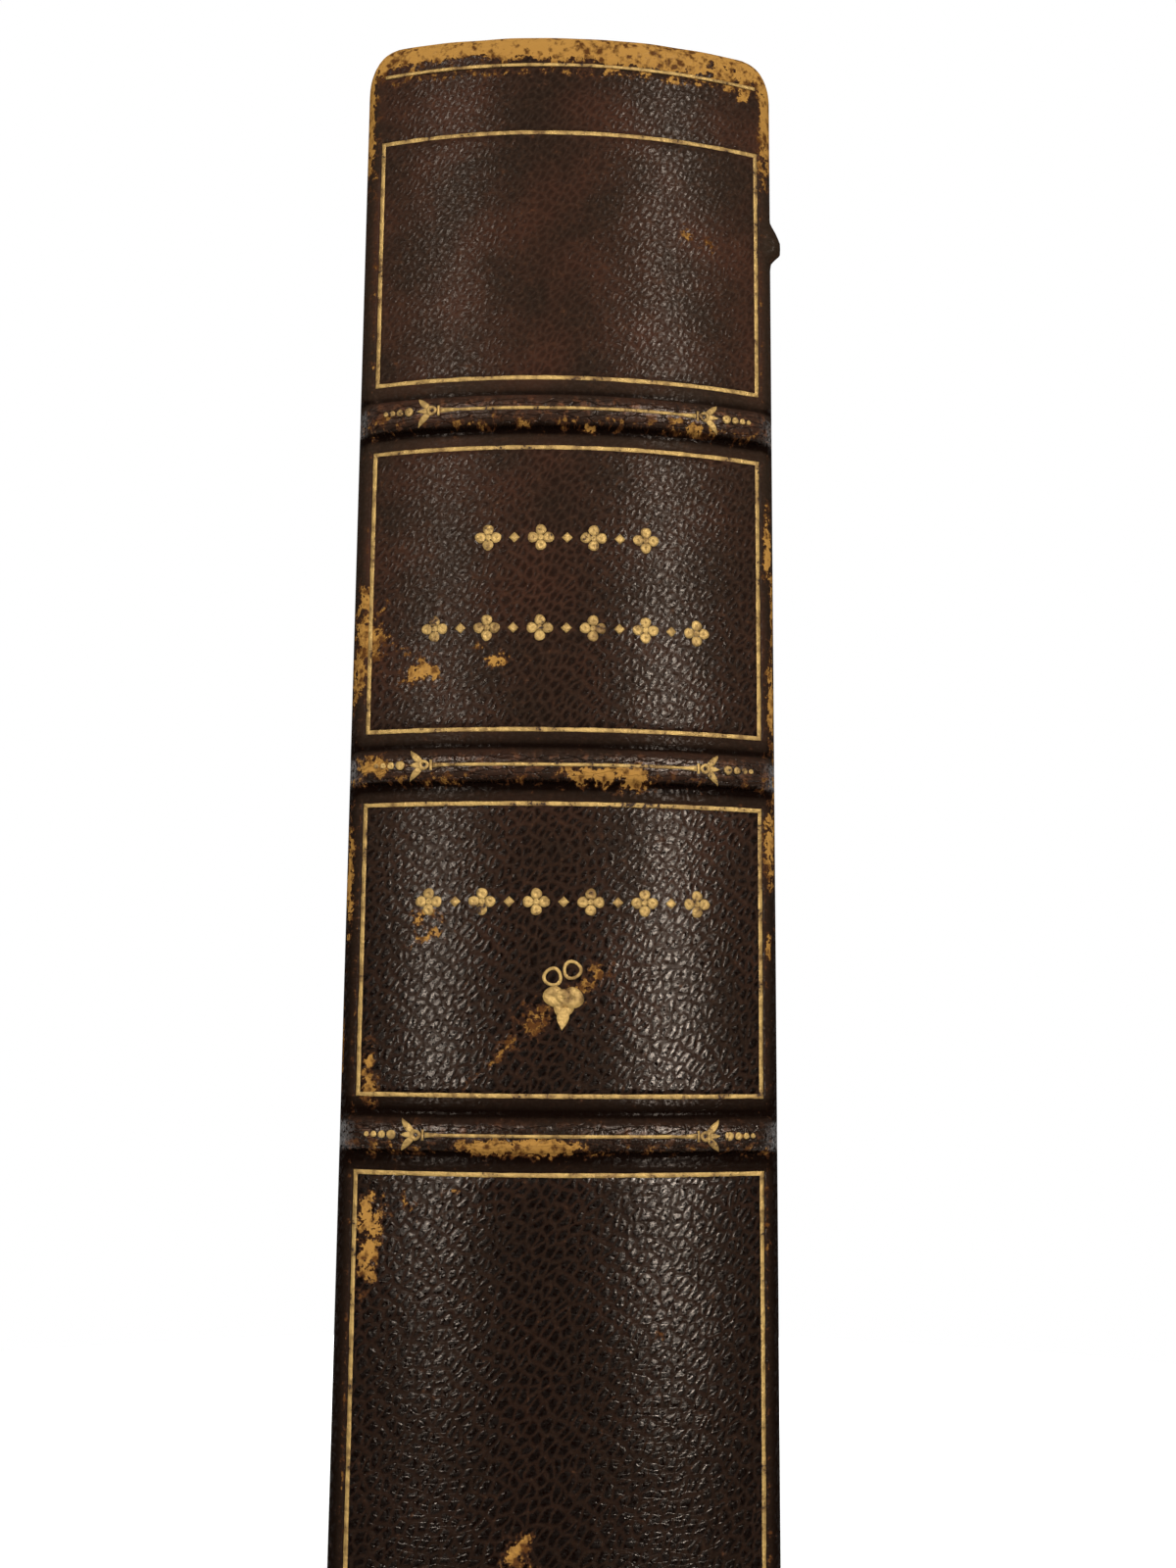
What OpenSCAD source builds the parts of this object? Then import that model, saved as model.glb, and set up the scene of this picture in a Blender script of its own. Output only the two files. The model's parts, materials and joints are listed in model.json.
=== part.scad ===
// An old full leather octavo, standing on its tail with its spine to the front (-Y),
// its front cover to +X and its back cover to -X. The origin is under its middle.

/* [Book] */
// Height of the covers and of the spine, tail to head
book_h = 219; // [190:1:250]
// Depth from the crest of the raised bands to the fore-edge of the covers
book_depth = 146; // [120:1:175]
// Thickness of the block of leaves between its endpapers
block_t = 32.5; // [26:0.5:40]
// How far the covers stand out past the leaves at head, tail and fore-edge
square_w = 4; // [3.5:0.1:6]

/* [Covers] */
// Thickness of a millboard
board_t = 3.2; // [2.4:0.1:4]
// Thickness of the leather
leather_t = 0.6; // [0.4:0.05:0.8]
// Thickness of the pared leather turned in over the boards
turn_in_t = 0.4; // [0.2:0.05:0.6]
// Width of the leather turned in over the boards
turn_in_w = 12; // [8:1:20]
// Thickness of a leaf of endpaper
endpaper_t = 0.2; // [0.15:0.05:0.3]
// Diagonal cut at the two spine corners of a board
back_corner = 3; // [1:0.5:4]
// Rounding of the outer edges of a cover
edge_round = 0.8; // [0.3:0.1:1]
// Gap from the joint line to the spine edge of a board
board_setback = 1.2; // [0.8:0.1:2]

/* [Spine] */
// Radius of the rounded spine, seen from above
spine_r = 54; // [46:0.5:70]
// Radius of the turn from the spine to its side
corner_r = 2.2; // [1.8:0.1:2.6]
// How far the side of the spine lies inside the face of the cover
joint_sink = 0.3; // [0.3:0.1:0.8]
// Depth of the flat side of the spine, from its corner to the joint line
side_strip = 1.9; // [1.4:0.1:3]
// Thickness of the paper tube of the hollow back
hollow_t = 0.7; // [0.5:0.1:1]
// Thickness of the lining glued to the backs of the leaves
lining_t = 0.4; // [0.2:0.1:0.6]

/* [Raised bands] */
// First band's distance from the head
band_1_down = 40.1; // [36:0.1:44]
// Second band's distance from the head
band_2_down = 75; // [71:0.1:79]
// Third band's distance from the head
band_3_down = 109.2; // [105:0.1:113]
// Fourth band's distance from the tail
band_4_up = 40.1; // [36:0.1:44]
// Width of a band over its leather
band_w = 3; // [2.6:0.1:4]
// How far a band stands out from the spine
band_h = 1.2; // [0.9:0.1:1.6]
// Rounding of a band's long edges
band_round = 0.9; // [0.7:0.1:1.1]

/* [Caps and endbands] */
// Radius of the leather rolled over at head and tail
cap_r = 2.6; // [1.8:0.1:3]
// How far the rolled cap reaches in over the endband
cap_reach = 3.6; // [3.2:0.1:4.5]
// Rounding of the spine's four corners, seen from the front
cap_corner_r = 3.2; // [2:0.1:4]
// Height of the leather turned in inside the spine
cap_turn_h = 12; // [8:1:20]
// Thickness of a sewn endband
endband_d = 1.8; // [1.4:0.1:2]

/* [Gilt tooling] */
// Width of a gilt line
gilt_w = 0.45; // [0.3:0.05:0.7]
// Depth to which the tools are pressed in
gilt_depth = 0.15; // [0.1:0.05:0.25]
// Distance of the upright gilt lines from the turn at the spine's sides
gilt_inset = 0.37; // [0.37:0.01:3]
// Distance from a band's centre to the frames above and below it
frame_margin = 3.55; // [3:0.05:5]
// Distance of the end frames from head and tail
end_frame = 10.9; // [8:0.1:14]
// Distance of the single end lines from head and tail
end_line = 3.6; // [3.3:0.1:5]
// Distance from the turn at the spine's sides to the end of the gilt line along a band
line_inset = 8.7; // [7.5:0.1:14]
// Height of the small flowers in the ornament rows
flower_h = 2.6; // [1.8:0.1:3]
// Distance between two flowers of a row
flower_pitch = 5.1; // [4.6:0.1:5.4]
// First row of the second panel, down from its frame's top, in percent of the frame's height
row_1_down = 32.6; // [18:0.1:40]
// Second row of the second panel, down from its frame's top, in percent of the frame's height
row_2_down = 64.6; // [57:0.1:79]
// Row of the third panel, down from its frame's top, in percent of the frame's height
row_3_down = 34.1; // [18:0.1:40]
// Middle of the fleuron, down from its frame's top, in percent of the frame's height
fleuron_down = 66.8; // [55:0.1:74]
// Height of the fleuron, in percent of its frame's height
fleuron_h = 23; // [18:0.5:25]

/* [Hidden] */
$fn = 96;

leather = [0.23, 0.15, 0.12];
gold = [0.72, 0.58, 0.36];
paper = [0.87, 0.80, 0.66];
grey_board = [0.55, 0.50, 0.42];
linen = [0.80, 0.74, 0.62];
silk = [0.70, 0.60, 0.40];

// Clearance between layers glued to each other, too thin to see
glue = 0.05;
// Clearance between a cover and the leaves, and half the slot at the joint
cover_gap = 0.15;
// Clearance round a piece of gilt in its tooled seat
gilt_gap = 0.01;
// How far a cutting shape runs past what it cuts
past = 1;
// Step where one stretch of the spine's leather runs on into the next, too small to see
lap = 0.02;
// How far each stretch runs on into the next
lap_run = 0.4;

// The layers of one cover, counted out from the leaves
fly_x = block_t / 2;
paste_x = fly_x + endpaper_t + cover_gap;
turn_x = paste_x + endpaper_t;
board_x = turn_x + turn_in_t;
skin_x = board_x + board_t;
cover_x = skin_x + leather_t;
spine_x = cover_x - joint_sink;

// The line of the rounded spine, seen from above
spine_y = -book_depth / 2 + band_h;
axis_y = spine_y + spine_r;
corner_x = spine_x - corner_r;
corner_y = axis_y - sqrt(pow(spine_r - corner_r, 2) - pow(corner_x, 2));
corner_deg = asin(corner_x / (spine_r - corner_r));
turn_s = corner_deg * PI / 180 * spine_r;
gilt_side = turn_s - gilt_inset;
band_line = turn_s - line_inset;
joint_y = corner_y + side_strip;
fore_y = book_depth / 2;
leaf_y = fore_y - square_w;
leaf_h = book_h - 2 * square_w;

// The layers under the spine's leather, as radii from its axis
hollow_r = spine_r - leather_t - glue;
lining_r = hollow_r - hollow_t - glue;
leaf_r = lining_r - lining_t - glue;
shoulder_x = spine_x - 2 * leather_t - glue;
shoulder_y = joint_y - 2 * cover_gap;
band_end_x = spine_x - 0.3;

// Rounding of the leather's inner side over a band, and of the band's core
seat_round = max(band_round - leather_t, 2 * glue);
core_round = seat_round - glue;

band_z = [book_h - band_1_down, book_h - band_2_down, book_h - band_3_down, band_4_up];
frame_tops = [book_h - end_frame, for (z = band_z) z - frame_margin];
frame_ends = [for (z = band_z) z + frame_margin, end_frame];
frame_hs = frame_tops - frame_ends;

// Units in which the ornaments are drawn, from the room they have
band_tool = min(band_w / 3, line_inset / 8.7);
fleuron_tool = frame_hs[2] * fleuron_h / 100 / 6.25;

// Degrees round the spine for a distance along its curve
function turn(s) = s / spine_r * 180 / PI;

// A profile of radius and height, carried round the spine between two distances along its curve
module around_spine(from, to) {
    translate([0, axis_y, 0])
        rotate_extrude(angle = turn(to - from), start = 270 + turn(from))
            children();
}

// A flat shape laid on the spine's leather at a distance along the curve and a height
module on_spine(s, z, lift) {
    translate([0, axis_y, 0])
        rotate([0, 0, turn(s)])
            translate([0, -spine_r - lift, z])
                rotate([90, 0, 0])
                    children();
}

// A shape drawn in depth and height, given a thickness from one width to another
module slab(from, to) {
    translate([from, 0, 0])
        rotate([90, 0, 90])
            linear_extrude(to - from)
                children();
}

// A lens with pointed ends, such as a small leaf, from its foot upwards
module leaf_shape(length, width, grow) {
    r = (length * length + width * width) / (4 * width) + grow;
    translate([0, length / 2])
        intersection() {
            translate([r - grow - width / 2, 0])
                circle(r);
            translate([-r + grow + width / 2, 0])
                circle(r);
        }
}

// The rolled end of the spine's leather at the tail: wall, roll and lip, from its outer face in
module cap_section(reach) {
    roll = min(cap_r, reach);
    fold = 2 * leather_t;
    translate([-fold, roll])
        square([fold, cap_turn_h - roll]);
    translate([-roll, roll])
        intersection() {
            difference() {
                circle(roll);
                circle(roll - fold);
            }
            translate([0, -roll])
                square(roll);
        }
    if (reach > roll) {
        translate([-reach, 0])
            square([reach - roll, fold]);
        translate([-reach, leather_t])
            circle(leather_t);
    }
}

// The whole section of the spine's leather, with a cap at each end
module leather_section(reach) {
    roll = min(cap_r, reach);
    translate([-leather_t, roll])
        square([leather_t, book_h - 2 * roll]);
    cap_section(reach);
    translate([0, book_h])
        mirror([0, 1])
            cap_section(reach);
}

// The section of a raised band: flat sides and a rounded top
module band_section(foot, top, width, round) {
    half = width / 2 - round;
    translate([foot, -width / 2])
        square([top - round - foot, width]);
    translate([foot, -half])
        square([top - foot, 2 * half]);
    for (side = [-1, 1])
        translate([top - round, side * half])
            circle(round);
}

// A profile of radius and height, carried round the spine's corner and a little on
module around_corner() {
    translate([corner_x, corner_y, 0])
        rotate_extrude(angle = 90 - corner_deg + asin(lap_run / corner_r), start = 270 + corner_deg)
            translate([corner_r - lap, 0])
                children();
}

// One side of the spine: the turned corner and the flat strip up to the joint line
module spine_side() {
    around_corner()
        leather_section(2 * leather_t);
    translate([spine_x, joint_y - cover_gap, 0])
        rotate([90, 0, 0])
            linear_extrude(joint_y - cover_gap - corner_y)
                leather_section(2 * leather_t);
}

// The bands' ends, pinched flat just short of the joint
module band_ends() {
    intersection() {
        around_corner()
            for (z = band_z)
                translate([0, z])
                    band_section(-leather_t / 2, band_h, band_w - 2 * lap, band_round);
        translate([0, spine_y - band_h - past, 0])
            cube([band_end_x, book_depth, book_h]);
    }
}

// Cuts the spine's corner round at the head, seen from the front
module corner_cut() {
    translate([spine_x - cap_corner_r, corner_y + side_strip + past, book_h - cap_corner_r])
        rotate([90, 0, 0])
            linear_extrude(book_depth / 4)
                difference() {
                    square(cap_corner_r + past);
                    circle(cap_corner_r);
                }
}

// One gilt frame, as a block of the spine's curve with its panel cut out
module gilt_frame(low, high, half, deep, lift) {
    difference() {
        around_spine(-gilt_side - half, gilt_side + half)
            translate([spine_r - deep, low - half])
                square([deep + lift, high - low + 2 * half]);
        around_spine(-gilt_side + half, gilt_side - half)
            translate([spine_r - deep - past, low + half])
                square([deep + lift + 2 * past, high - low - 2 * half]);
    }
}

// The gilt lines: two end lines and five frames, as pressed into the leather
module gilt_lines(gap, lift) {
    half = gilt_w / 2 - gap;
    deep = gilt_depth - gap;
    for (z = [end_line, book_h - end_line])
        around_spine(-gilt_side, gilt_side)
            translate([spine_r - deep, z - half])
                square([deep + lift, 2 * half]);
    for (i = [0:len(frame_tops) - 1])
        gilt_frame(frame_ends[i], frame_tops[i], half, deep, lift);
}

// A palmette that points to the right: three leaves on a short stem
module palmette(grow) {
    u = band_tool;
    rotate(-90) {
        for (tilt = [-38, 0, 38])
            rotate(tilt)
                leaf_shape((tilt == 0 ? 2.6 : 2) * u, 0.75 * u, grow);
        translate([0, -1.6 * u])
            leaf_shape(2.2 * u, 0.6 * u, grow);
        translate([0, -0.1 * u])
            circle(0.4 * u + grow, $fn = 24);
    }
}

// The tooling on one half of a band: a palmette and four beads that shrink outwards
module band_tooling(side, z, grow, lift) {
    u = band_tool;
    palmette_s = band_line + 2.2 * u;
    bead_s = palmette_s + 3.2 * u;
    deep = gilt_depth + grow;
    on_spine(side * palmette_s, z, band_h - deep)
        linear_extrude(deep + lift)
            mirror([side < 0 ? 1 : 0, 0])
                palmette(grow);
    for (i = [0:3])
        on_spine(side * (bead_s + i * (0.74 - 0.04 * i) * u), z, band_h - deep)
            linear_extrude(deep + lift)
                circle((0.3 - 0.03 * i) * u + grow, $fn = 24);
}

// All the tooling on the bands
module band_gilding(grow, lift) {
    deep = gilt_depth + grow;
    half = gilt_w / 2 + grow;
    for (z = band_z) {
        around_spine(-band_line - grow, band_line + grow)
            translate([spine_r + band_h - deep, z - half])
                square([deep + lift, 2 * half]);
        for (side = [-1, 1])
            band_tooling(side, z, grow, lift);
    }
}

// A small flower of four round petals with a centre
module flower(grow) {
    petal_r = flower_h * 0.21;
    for (a = [0:90:270])
        rotate(a)
            translate([flower_h / 2 - petal_r, 0])
                circle(petal_r + grow, $fn = 24);
    circle(flower_h * 0.14 + grow, $fn = 24);
}

// A row of flowers with a small lozenge between each two
module ornament_row(z, flowers, grow, lift) {
    deep = gilt_depth + grow;
    lozenge = flower_h * 0.21 + grow;
    for (i = [0:flowers - 1])
        on_spine((i - (flowers - 1) / 2) * flower_pitch, z, -deep)
            linear_extrude(deep + lift)
                flower(grow);
    for (i = [0:flowers - 2])
        on_spine((i - flowers / 2 + 1) * flower_pitch, z, -deep)
            linear_extrude(deep + lift)
                polygon([[lozenge, 0], [0, lozenge], [-lozenge, 0], [0, -lozenge]]);
}

// The fleuron in the third panel: two rings over a trefoil with a pointed foot
module fleuron(grow) {
    u = fleuron_tool;
    for (ring = [[-1, 1.9], [0.85, 2.5]])
        translate(ring * u)
            difference() {
                circle(0.85 * u + grow, $fn = 48);
                circle(0.5 * u - grow, $fn = 48);
            }
    for (lobe = [[-0.95, 0.05], [0.95, 0.05], [0, -1]])
        translate(lobe * u)
            circle(0.95 * u + grow, $fn = 48);
    translate([0, -0.2 * u])
        circle(0.8 * u + grow, $fn = 48);
    translate([0, -2.9 * u])
        leaf_shape(2 * u, 0.9 * u, grow);
}

// The ornaments of the second and third panels
module ornaments(grow, lift) {
    deep = gilt_depth + grow;
    ornament_row(frame_tops[1] - frame_hs[1] * row_1_down / 100, 4, grow, lift);
    ornament_row(frame_tops[1] - frame_hs[1] * row_2_down / 100, 6, grow, lift);
    ornament_row(frame_tops[2] - frame_hs[2] * row_3_down / 100, 6, grow, lift);
    on_spine(0, frame_tops[2] - frame_hs[2] * fleuron_down / 100, -deep)
        linear_extrude(deep + lift)
            fleuron(grow);
}

// The leather of the spine, worked over the bands and rolled into a cap at head and tail
module spine_leather() {
    color(leather)
        difference() {
            union() {
                around_spine(-turn_s - lap_run, turn_s + lap_run)
                    difference() {
                        union() {
                            translate([spine_r, 0])
                                leather_section(cap_reach);
                            for (z = band_z)
                                translate([spine_r, z])
                                    band_section(-leather_t, band_h, band_w, band_round);
                        }
                        for (z = band_z)
                            translate([spine_r, z])
                                band_section(-leather_t - past, band_h - leather_t,
                                    band_w - 2 * leather_t, seat_round);
                    }
                for (side = [0, 1])
                    mirror([side, 0, 0]) {
                        spine_side();
                        band_ends();
                    }
            }
            for (side = [0, 1])
                mirror([side, 0, 0]) {
                    corner_cut();
                    translate([0, 0, book_h])
                        mirror([0, 0, 1])
                            corner_cut();
                }
            gilt_lines(0, past);
            band_gilding(0, past);
            ornaments(0, past);
        }
}

// The leather strip under one band, glued to the hollow back
module raised_band(i) {
    reach = turn_s - 0.5;
    color([0.45, 0.33, 0.24])
        around_spine(-reach, reach)
            translate([spine_r, band_z[i]])
                band_section(-leather_t, band_h - leather_t - glue,
                    band_w - 2 * leather_t - 2 * glue, core_round);
}

// The leaves, sewn, rounded and backed, as one solid
module text_block() {
    fore_sag = leaf_r - sqrt(leaf_r * leaf_r - fly_x * fly_x);
    flare = board_setback - 2 * cover_gap;
    color(paper)
        translate([0, 0, square_w])
            linear_extrude(leaf_h)
                difference() {
                    union() {
                        intersection() {
                            translate([0, axis_y])
                                circle(leaf_r);
                            translate([-shoulder_x, spine_y])
                                square([2 * shoulder_x, shoulder_y - spine_y]);
                        }
                        translate([-fly_x, shoulder_y - past])
                            square([2 * fly_x, leaf_y - shoulder_y + past]);
                        for (side = [0, 1])
                            mirror([side, 0])
                                translate([fly_x, shoulder_y])
                                    difference() {
                                        square(flare);
                                        translate([flare, flare])
                                            circle(flare);
                                    }
                    }
                    translate([0, leaf_y - fore_sag + leaf_r])
                        circle(leaf_r);
                }
}

// A loose leaf of endpaper against the side of the leaves
module flyleaf() {
    color(paper)
        slab(fly_x, fly_x + endpaper_t)
            translate([joint_y + board_setback, square_w])
                square([leaf_y - joint_y - board_setback, leaf_h]);
}

// The cloth and paper glued over the backs of the leaves
module spine_lining() {
    reach = asin((shoulder_x - lining_t) / lining_r) * PI / 180 * spine_r;
    color(linen)
        around_spine(-reach, reach)
            translate([lining_r - lining_t, square_w])
                square([lining_t, leaf_h]);
}

// The flattened paper tube between the lining and the leather
module hollow_back() {
    reach = turn_s - 0.8;
    ply = hollow_t * 0.4;
    low = cap_turn_h + glue;
    tall = book_h - 2 * low;
    color(linen)
        difference() {
            around_spine(-reach, reach)
                translate([hollow_r - hollow_t, low])
                    square([hollow_t, tall]);
            around_spine(-reach + 1, reach - 1)
                translate([hollow_r - hollow_t + ply, low - past])
                    square([hollow_t - 2 * ply, tall + 2 * past]);
        }
}

// A sewn endband: a core and the bead of its stitches, on the edge of the leaves
module endband() {
    core_r = endband_d / 2;
    bead_r = endband_d / 5;
    reach = asin((fly_x + 1) / leaf_r) * PI / 180 * spine_r;
    color(silk)
        around_spine(-reach, reach)
            translate([leaf_r - core_r - bead_r, square_w + leaf_h + glue]) {
                translate([0, core_r])
                    circle(core_r);
                translate([-core_r, bead_r])
                    circle(bead_r, $fn = 32);
            }
}

// The outline of a cover's piece in depth and height, inset from the cover's edges
module cover_outline(inset, start) {
    cut = back_corner - inset;
    polygon([[start + cut, inset], [fore_y - inset, inset], [fore_y - inset, book_h - inset],
        [start + cut, book_h - inset], [start, book_h - inset - cut], [start, inset + cut]]);
}

// A millboard, cut off at its spine corners
module board() {
    color(grey_board)
        slab(board_x, skin_x)
            cover_outline(leather_t, joint_y + board_setback);
}

// Rounds the outer edges of a cover at its fore-edge, head and tail
module cover_edge_cut() {
    corner = cover_x - edge_round;
    translate([corner, fore_y - edge_round, -past])
        linear_extrude(book_h + 2 * past)
            edge_cutter();
    for (end = [0, 1])
        translate([0, 0, end * book_h])
            mirror([0, 0, end])
                translate([corner, fore_y + past, edge_round])
                    rotate([90, 0, 0])
                        linear_extrude(book_depth)
                            mirror([0, 1])
                                edge_cutter();
}

// What is left of a square outside a quarter round
module edge_cutter() {
    difference() {
        square(edge_round + past);
        circle(edge_round);
    }
}

// A cover's leather: its face, its wrapped edges and its turn-ins, from the joint line
module cover_leather() {
    start = joint_y + cover_gap;
    window_start = joint_y - past;
    color(leather)
        difference() {
            union() {
                slab(skin_x, cover_x)
                    cover_outline(0, start);
                slab(turn_x, skin_x + leather_t / 2)
                    cover_outline(0, joint_y + board_setback);
            }
            slab(board_x, skin_x)
                cover_outline(leather_t, joint_y + board_setback);
            slab(turn_x - past, skin_x)
                translate([window_start, turn_in_w])
                    square([board_setback + 2 * past, book_h - 2 * turn_in_w]);
            slab(turn_x - past, board_x)
                translate([window_start, turn_in_w])
                    square([fore_y - turn_in_w - window_start, book_h - 2 * turn_in_w]);
            cover_edge_cut();
        }
}

// The card that levels the inside of a board with the turn-ins
module infill() {
    start = joint_y + board_setback;
    color(grey_board)
        slab(turn_x, board_x)
            translate([start, turn_in_w + glue])
                square([fore_y - turn_in_w - glue - start, book_h - 2 * turn_in_w - 2 * glue]);
}

// The endpaper pasted to the inside of a cover, over the turn-ins
module pastedown() {
    start = joint_y + board_setback;
    color(paper)
        slab(paste_x, turn_x)
            translate([start, square_w])
                square([leaf_y - start, leaf_h]);
}

text_block();
flyleaf();  // front_flyleaf
mirror([1, 0, 0]) flyleaf();  // back_flyleaf
spine_lining();
hollow_back();
raised_band(0);  // raised_band_1
raised_band(1);  // raised_band_2
raised_band(2);  // raised_band_3
raised_band(3);  // raised_band_4
endband();  // headband
translate([0, 0, book_h]) mirror([0, 0, 1]) endband();  // tailband
spine_leather();
color(gold) gilt_lines(gilt_gap, 0);  // gilt_frames
color(gold) band_gilding(-gilt_gap, 0);  // gilt_bands
color(gold) ornaments(-gilt_gap, 0);  // gilt_ornaments
board();  // front_board
cover_leather();  // front_leather
infill();  // front_infill
pastedown();  // front_pastedown
mirror([1, 0, 0]) board();  // back_board
mirror([1, 0, 0]) cover_leather();  // back_leather
mirror([1, 0, 0]) infill();  // back_infill
mirror([1, 0, 0]) pastedown();  // back_pastedown
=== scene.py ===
"""Dresses a packed book in worn morocco, gold tooling and aged paper: a Blender add-on run as a script."""

import json
import math
from types import SimpleNamespace

import bmesh
import bpy
import numpy as np
from bpy.props import FloatProperty, FloatVectorProperty, PointerProperty
from mathutils import Matrix, Vector


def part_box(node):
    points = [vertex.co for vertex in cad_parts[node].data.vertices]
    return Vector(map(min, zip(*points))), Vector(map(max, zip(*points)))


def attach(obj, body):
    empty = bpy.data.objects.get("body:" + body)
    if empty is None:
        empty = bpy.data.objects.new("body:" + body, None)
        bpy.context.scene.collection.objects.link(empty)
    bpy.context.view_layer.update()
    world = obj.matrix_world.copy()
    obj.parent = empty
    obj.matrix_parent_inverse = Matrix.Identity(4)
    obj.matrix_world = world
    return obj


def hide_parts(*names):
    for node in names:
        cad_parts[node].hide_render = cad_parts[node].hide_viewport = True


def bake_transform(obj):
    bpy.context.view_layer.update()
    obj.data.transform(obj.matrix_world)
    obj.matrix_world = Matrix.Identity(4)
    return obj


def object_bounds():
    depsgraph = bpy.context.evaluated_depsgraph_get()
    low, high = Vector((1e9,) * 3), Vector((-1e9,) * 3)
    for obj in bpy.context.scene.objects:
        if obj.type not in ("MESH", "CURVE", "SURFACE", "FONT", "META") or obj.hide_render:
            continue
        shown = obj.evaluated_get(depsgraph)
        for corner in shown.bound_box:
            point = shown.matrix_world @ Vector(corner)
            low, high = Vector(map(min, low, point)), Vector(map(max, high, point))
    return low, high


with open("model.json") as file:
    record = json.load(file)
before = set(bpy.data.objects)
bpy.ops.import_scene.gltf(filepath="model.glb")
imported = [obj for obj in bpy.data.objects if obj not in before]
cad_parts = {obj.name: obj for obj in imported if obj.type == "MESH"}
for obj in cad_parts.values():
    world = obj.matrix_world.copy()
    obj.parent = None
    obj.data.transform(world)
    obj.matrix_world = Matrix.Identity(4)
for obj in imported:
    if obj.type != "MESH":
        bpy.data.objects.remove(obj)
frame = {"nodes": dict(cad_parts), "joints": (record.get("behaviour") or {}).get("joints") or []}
CAD_BOX = [list(corner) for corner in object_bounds()]
NODE_BOX = {node: [np.array(corner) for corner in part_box(node)] for node in frame["nodes"]}

bl_info = {
    "name": "Antique Leather Book",
    "version": (1, 0, 0),
    "blender": (4, 5, 0),
    "location": "3D View > Sidebar > Old Book",
    "description": "Leather, gilt, paper and studio for an old book standing on its tail",
    "category": "Object",
}

MM = 0.001
SIDES = {"front": 1, "back": -1}
BAND_NUMBERS = (1, 2, 3, 4)
HIDE_MAP = "Hide"
SAME_POINT = 0.001 * MM
ROW_GAP = 0.01 * MM
THREE_ACROSS = np.array([-1.0, 0.0, 1.0])
THREAD_TURNS = 54
POLISH_TINT = (1.0, 0.84, 0.7)
# cells per metre, detail and roughness of the hide's fine, middle and broad noise
HIDE_NOISES = ((2900, 3, 0.65), (950, 2, 0.6), (120, 3, 0.55))
# cells per metre, and how far the rows of the grain are pushed about
GRAIN_WARPS = ((300, 0.8 * MM), (1300, 0.3 * MM))
# distances (mm) of a cover's columns near the joint from the edge of its leather
JOINT_STEPS = (0, 0.4, 0.8, 1.0, 1.15, 1.3, 1.45, 1.6, 1.75, 1.9, 2.05, 2.2, 2.5, 2.8, 3.3, 3.9, 4.6)
# insets (mm) of the rings on a cover's face, and shares of the turned-in leather's width
FACE_RINGS = (96, 83, 70, 58, 47, 37, 28, 20.5, 14.5, 10.5, 7.5, 5.2, 3.6, 2.4, 1.5, 1.05)
TURN_IN_RINGS = (0.1, 2.5 / 12, 0.375, 7 / 12, 9.5 / 12, 11.6 / 12, 1.0)
# panel from the head, distance (mm) down from its top line, and number of flowers
ORNAMENT_ROWS = ((1, 9.05, 4), (1, 17.95, 6), (2, 9.25, 6))
# panel and distance down; then places of its rings, and places and radii of its lobes (mm)
FLEURON_PLACE = (2, 18.1)
FLEURON_RINGS = ((-0.95, 1.9), (0.88, 2.55))
FLEURON_LOBES = ((-0.85, 0.1, 0.95), (0.95, -0.05, 1.0), (0.1, -0.9, 0.95), (0.05, 0.1, 0.7))
# name, degrees from the front, and share of the mean power
STRIP_LAMPS = (("left_strip", -28.5, 0.74), ("right_strip", 26.5, 1.26))
STRIP_SIZE = (0.04, 0.9)
# name, place, width and height, and power in watts
SOFT_LAMPS = (("high_soft", (0.05, -0.75, 1.25), (0.9, 0.5), 3.2),
              ("back_soft", (-0.1, 0.9, 1.1), (1.0, 0.6), 11.0))
FLOOR_RINGS = (0.0005, 0.12, 0.24, 0.36, 0.46)


def linear(red, green, blue):
    """A colour given in 0 to 255, as the linear numbers that a shader takes."""
    share = np.array([red, green, blue]) / 255
    low, high = share / 12.92, ((share + 0.055) / 1.055) ** 2.4
    return tuple(float(c) for c in np.where(share <= 0.04045, low, high))


def length(name, description, default):
    """A property that holds a length in metres."""
    return FloatProperty(name=name, description=description, default=default, subtype="DISTANCE",
                         unit="LENGTH")


def number(name, description, default):
    """A property that holds a plain number."""
    return FloatProperty(name=name, description=description, default=default)


def colour(name, description, default):
    """A property that holds a colour."""
    return FloatVectorProperty(name=name, description=description, default=default, subtype="COLOR", size=3,
                               min=0, max=1)


class SpineSizes(bpy.types.PropertyGroup):
    """Sizes of the rounded spine and its caps."""
    round_radius: length("Round", "Radius of the rounded spine, seen from above", 54 * MM)
    corner_radius: length("Corner", "Radius of the turn from the spine to its side", 2.2 * MM)
    cap_radius: length("Cap", "Radius of the leather rolled over at head and tail", 1.4 * MM)
    cap_reach: length("Cap reach", "How far the rolled cap reaches in over the endband", 3.6 * MM)
    cap_corner: length("Cap corner", "Rounding of the spine's four corners, seen from the front", 3.2 * MM)
    band_height: length("Band height", "How far a raised band stands out", 1.2 * MM)
    band_width: length("Band width", "Width of a raised band over its leather", 3.3 * MM)
    leather: length("Leather", "Thickness of the leather", 0.6 * MM)
    turned_in: length("Turned in", "Height of the leather turned in inside the spine", 12 * MM)


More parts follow.
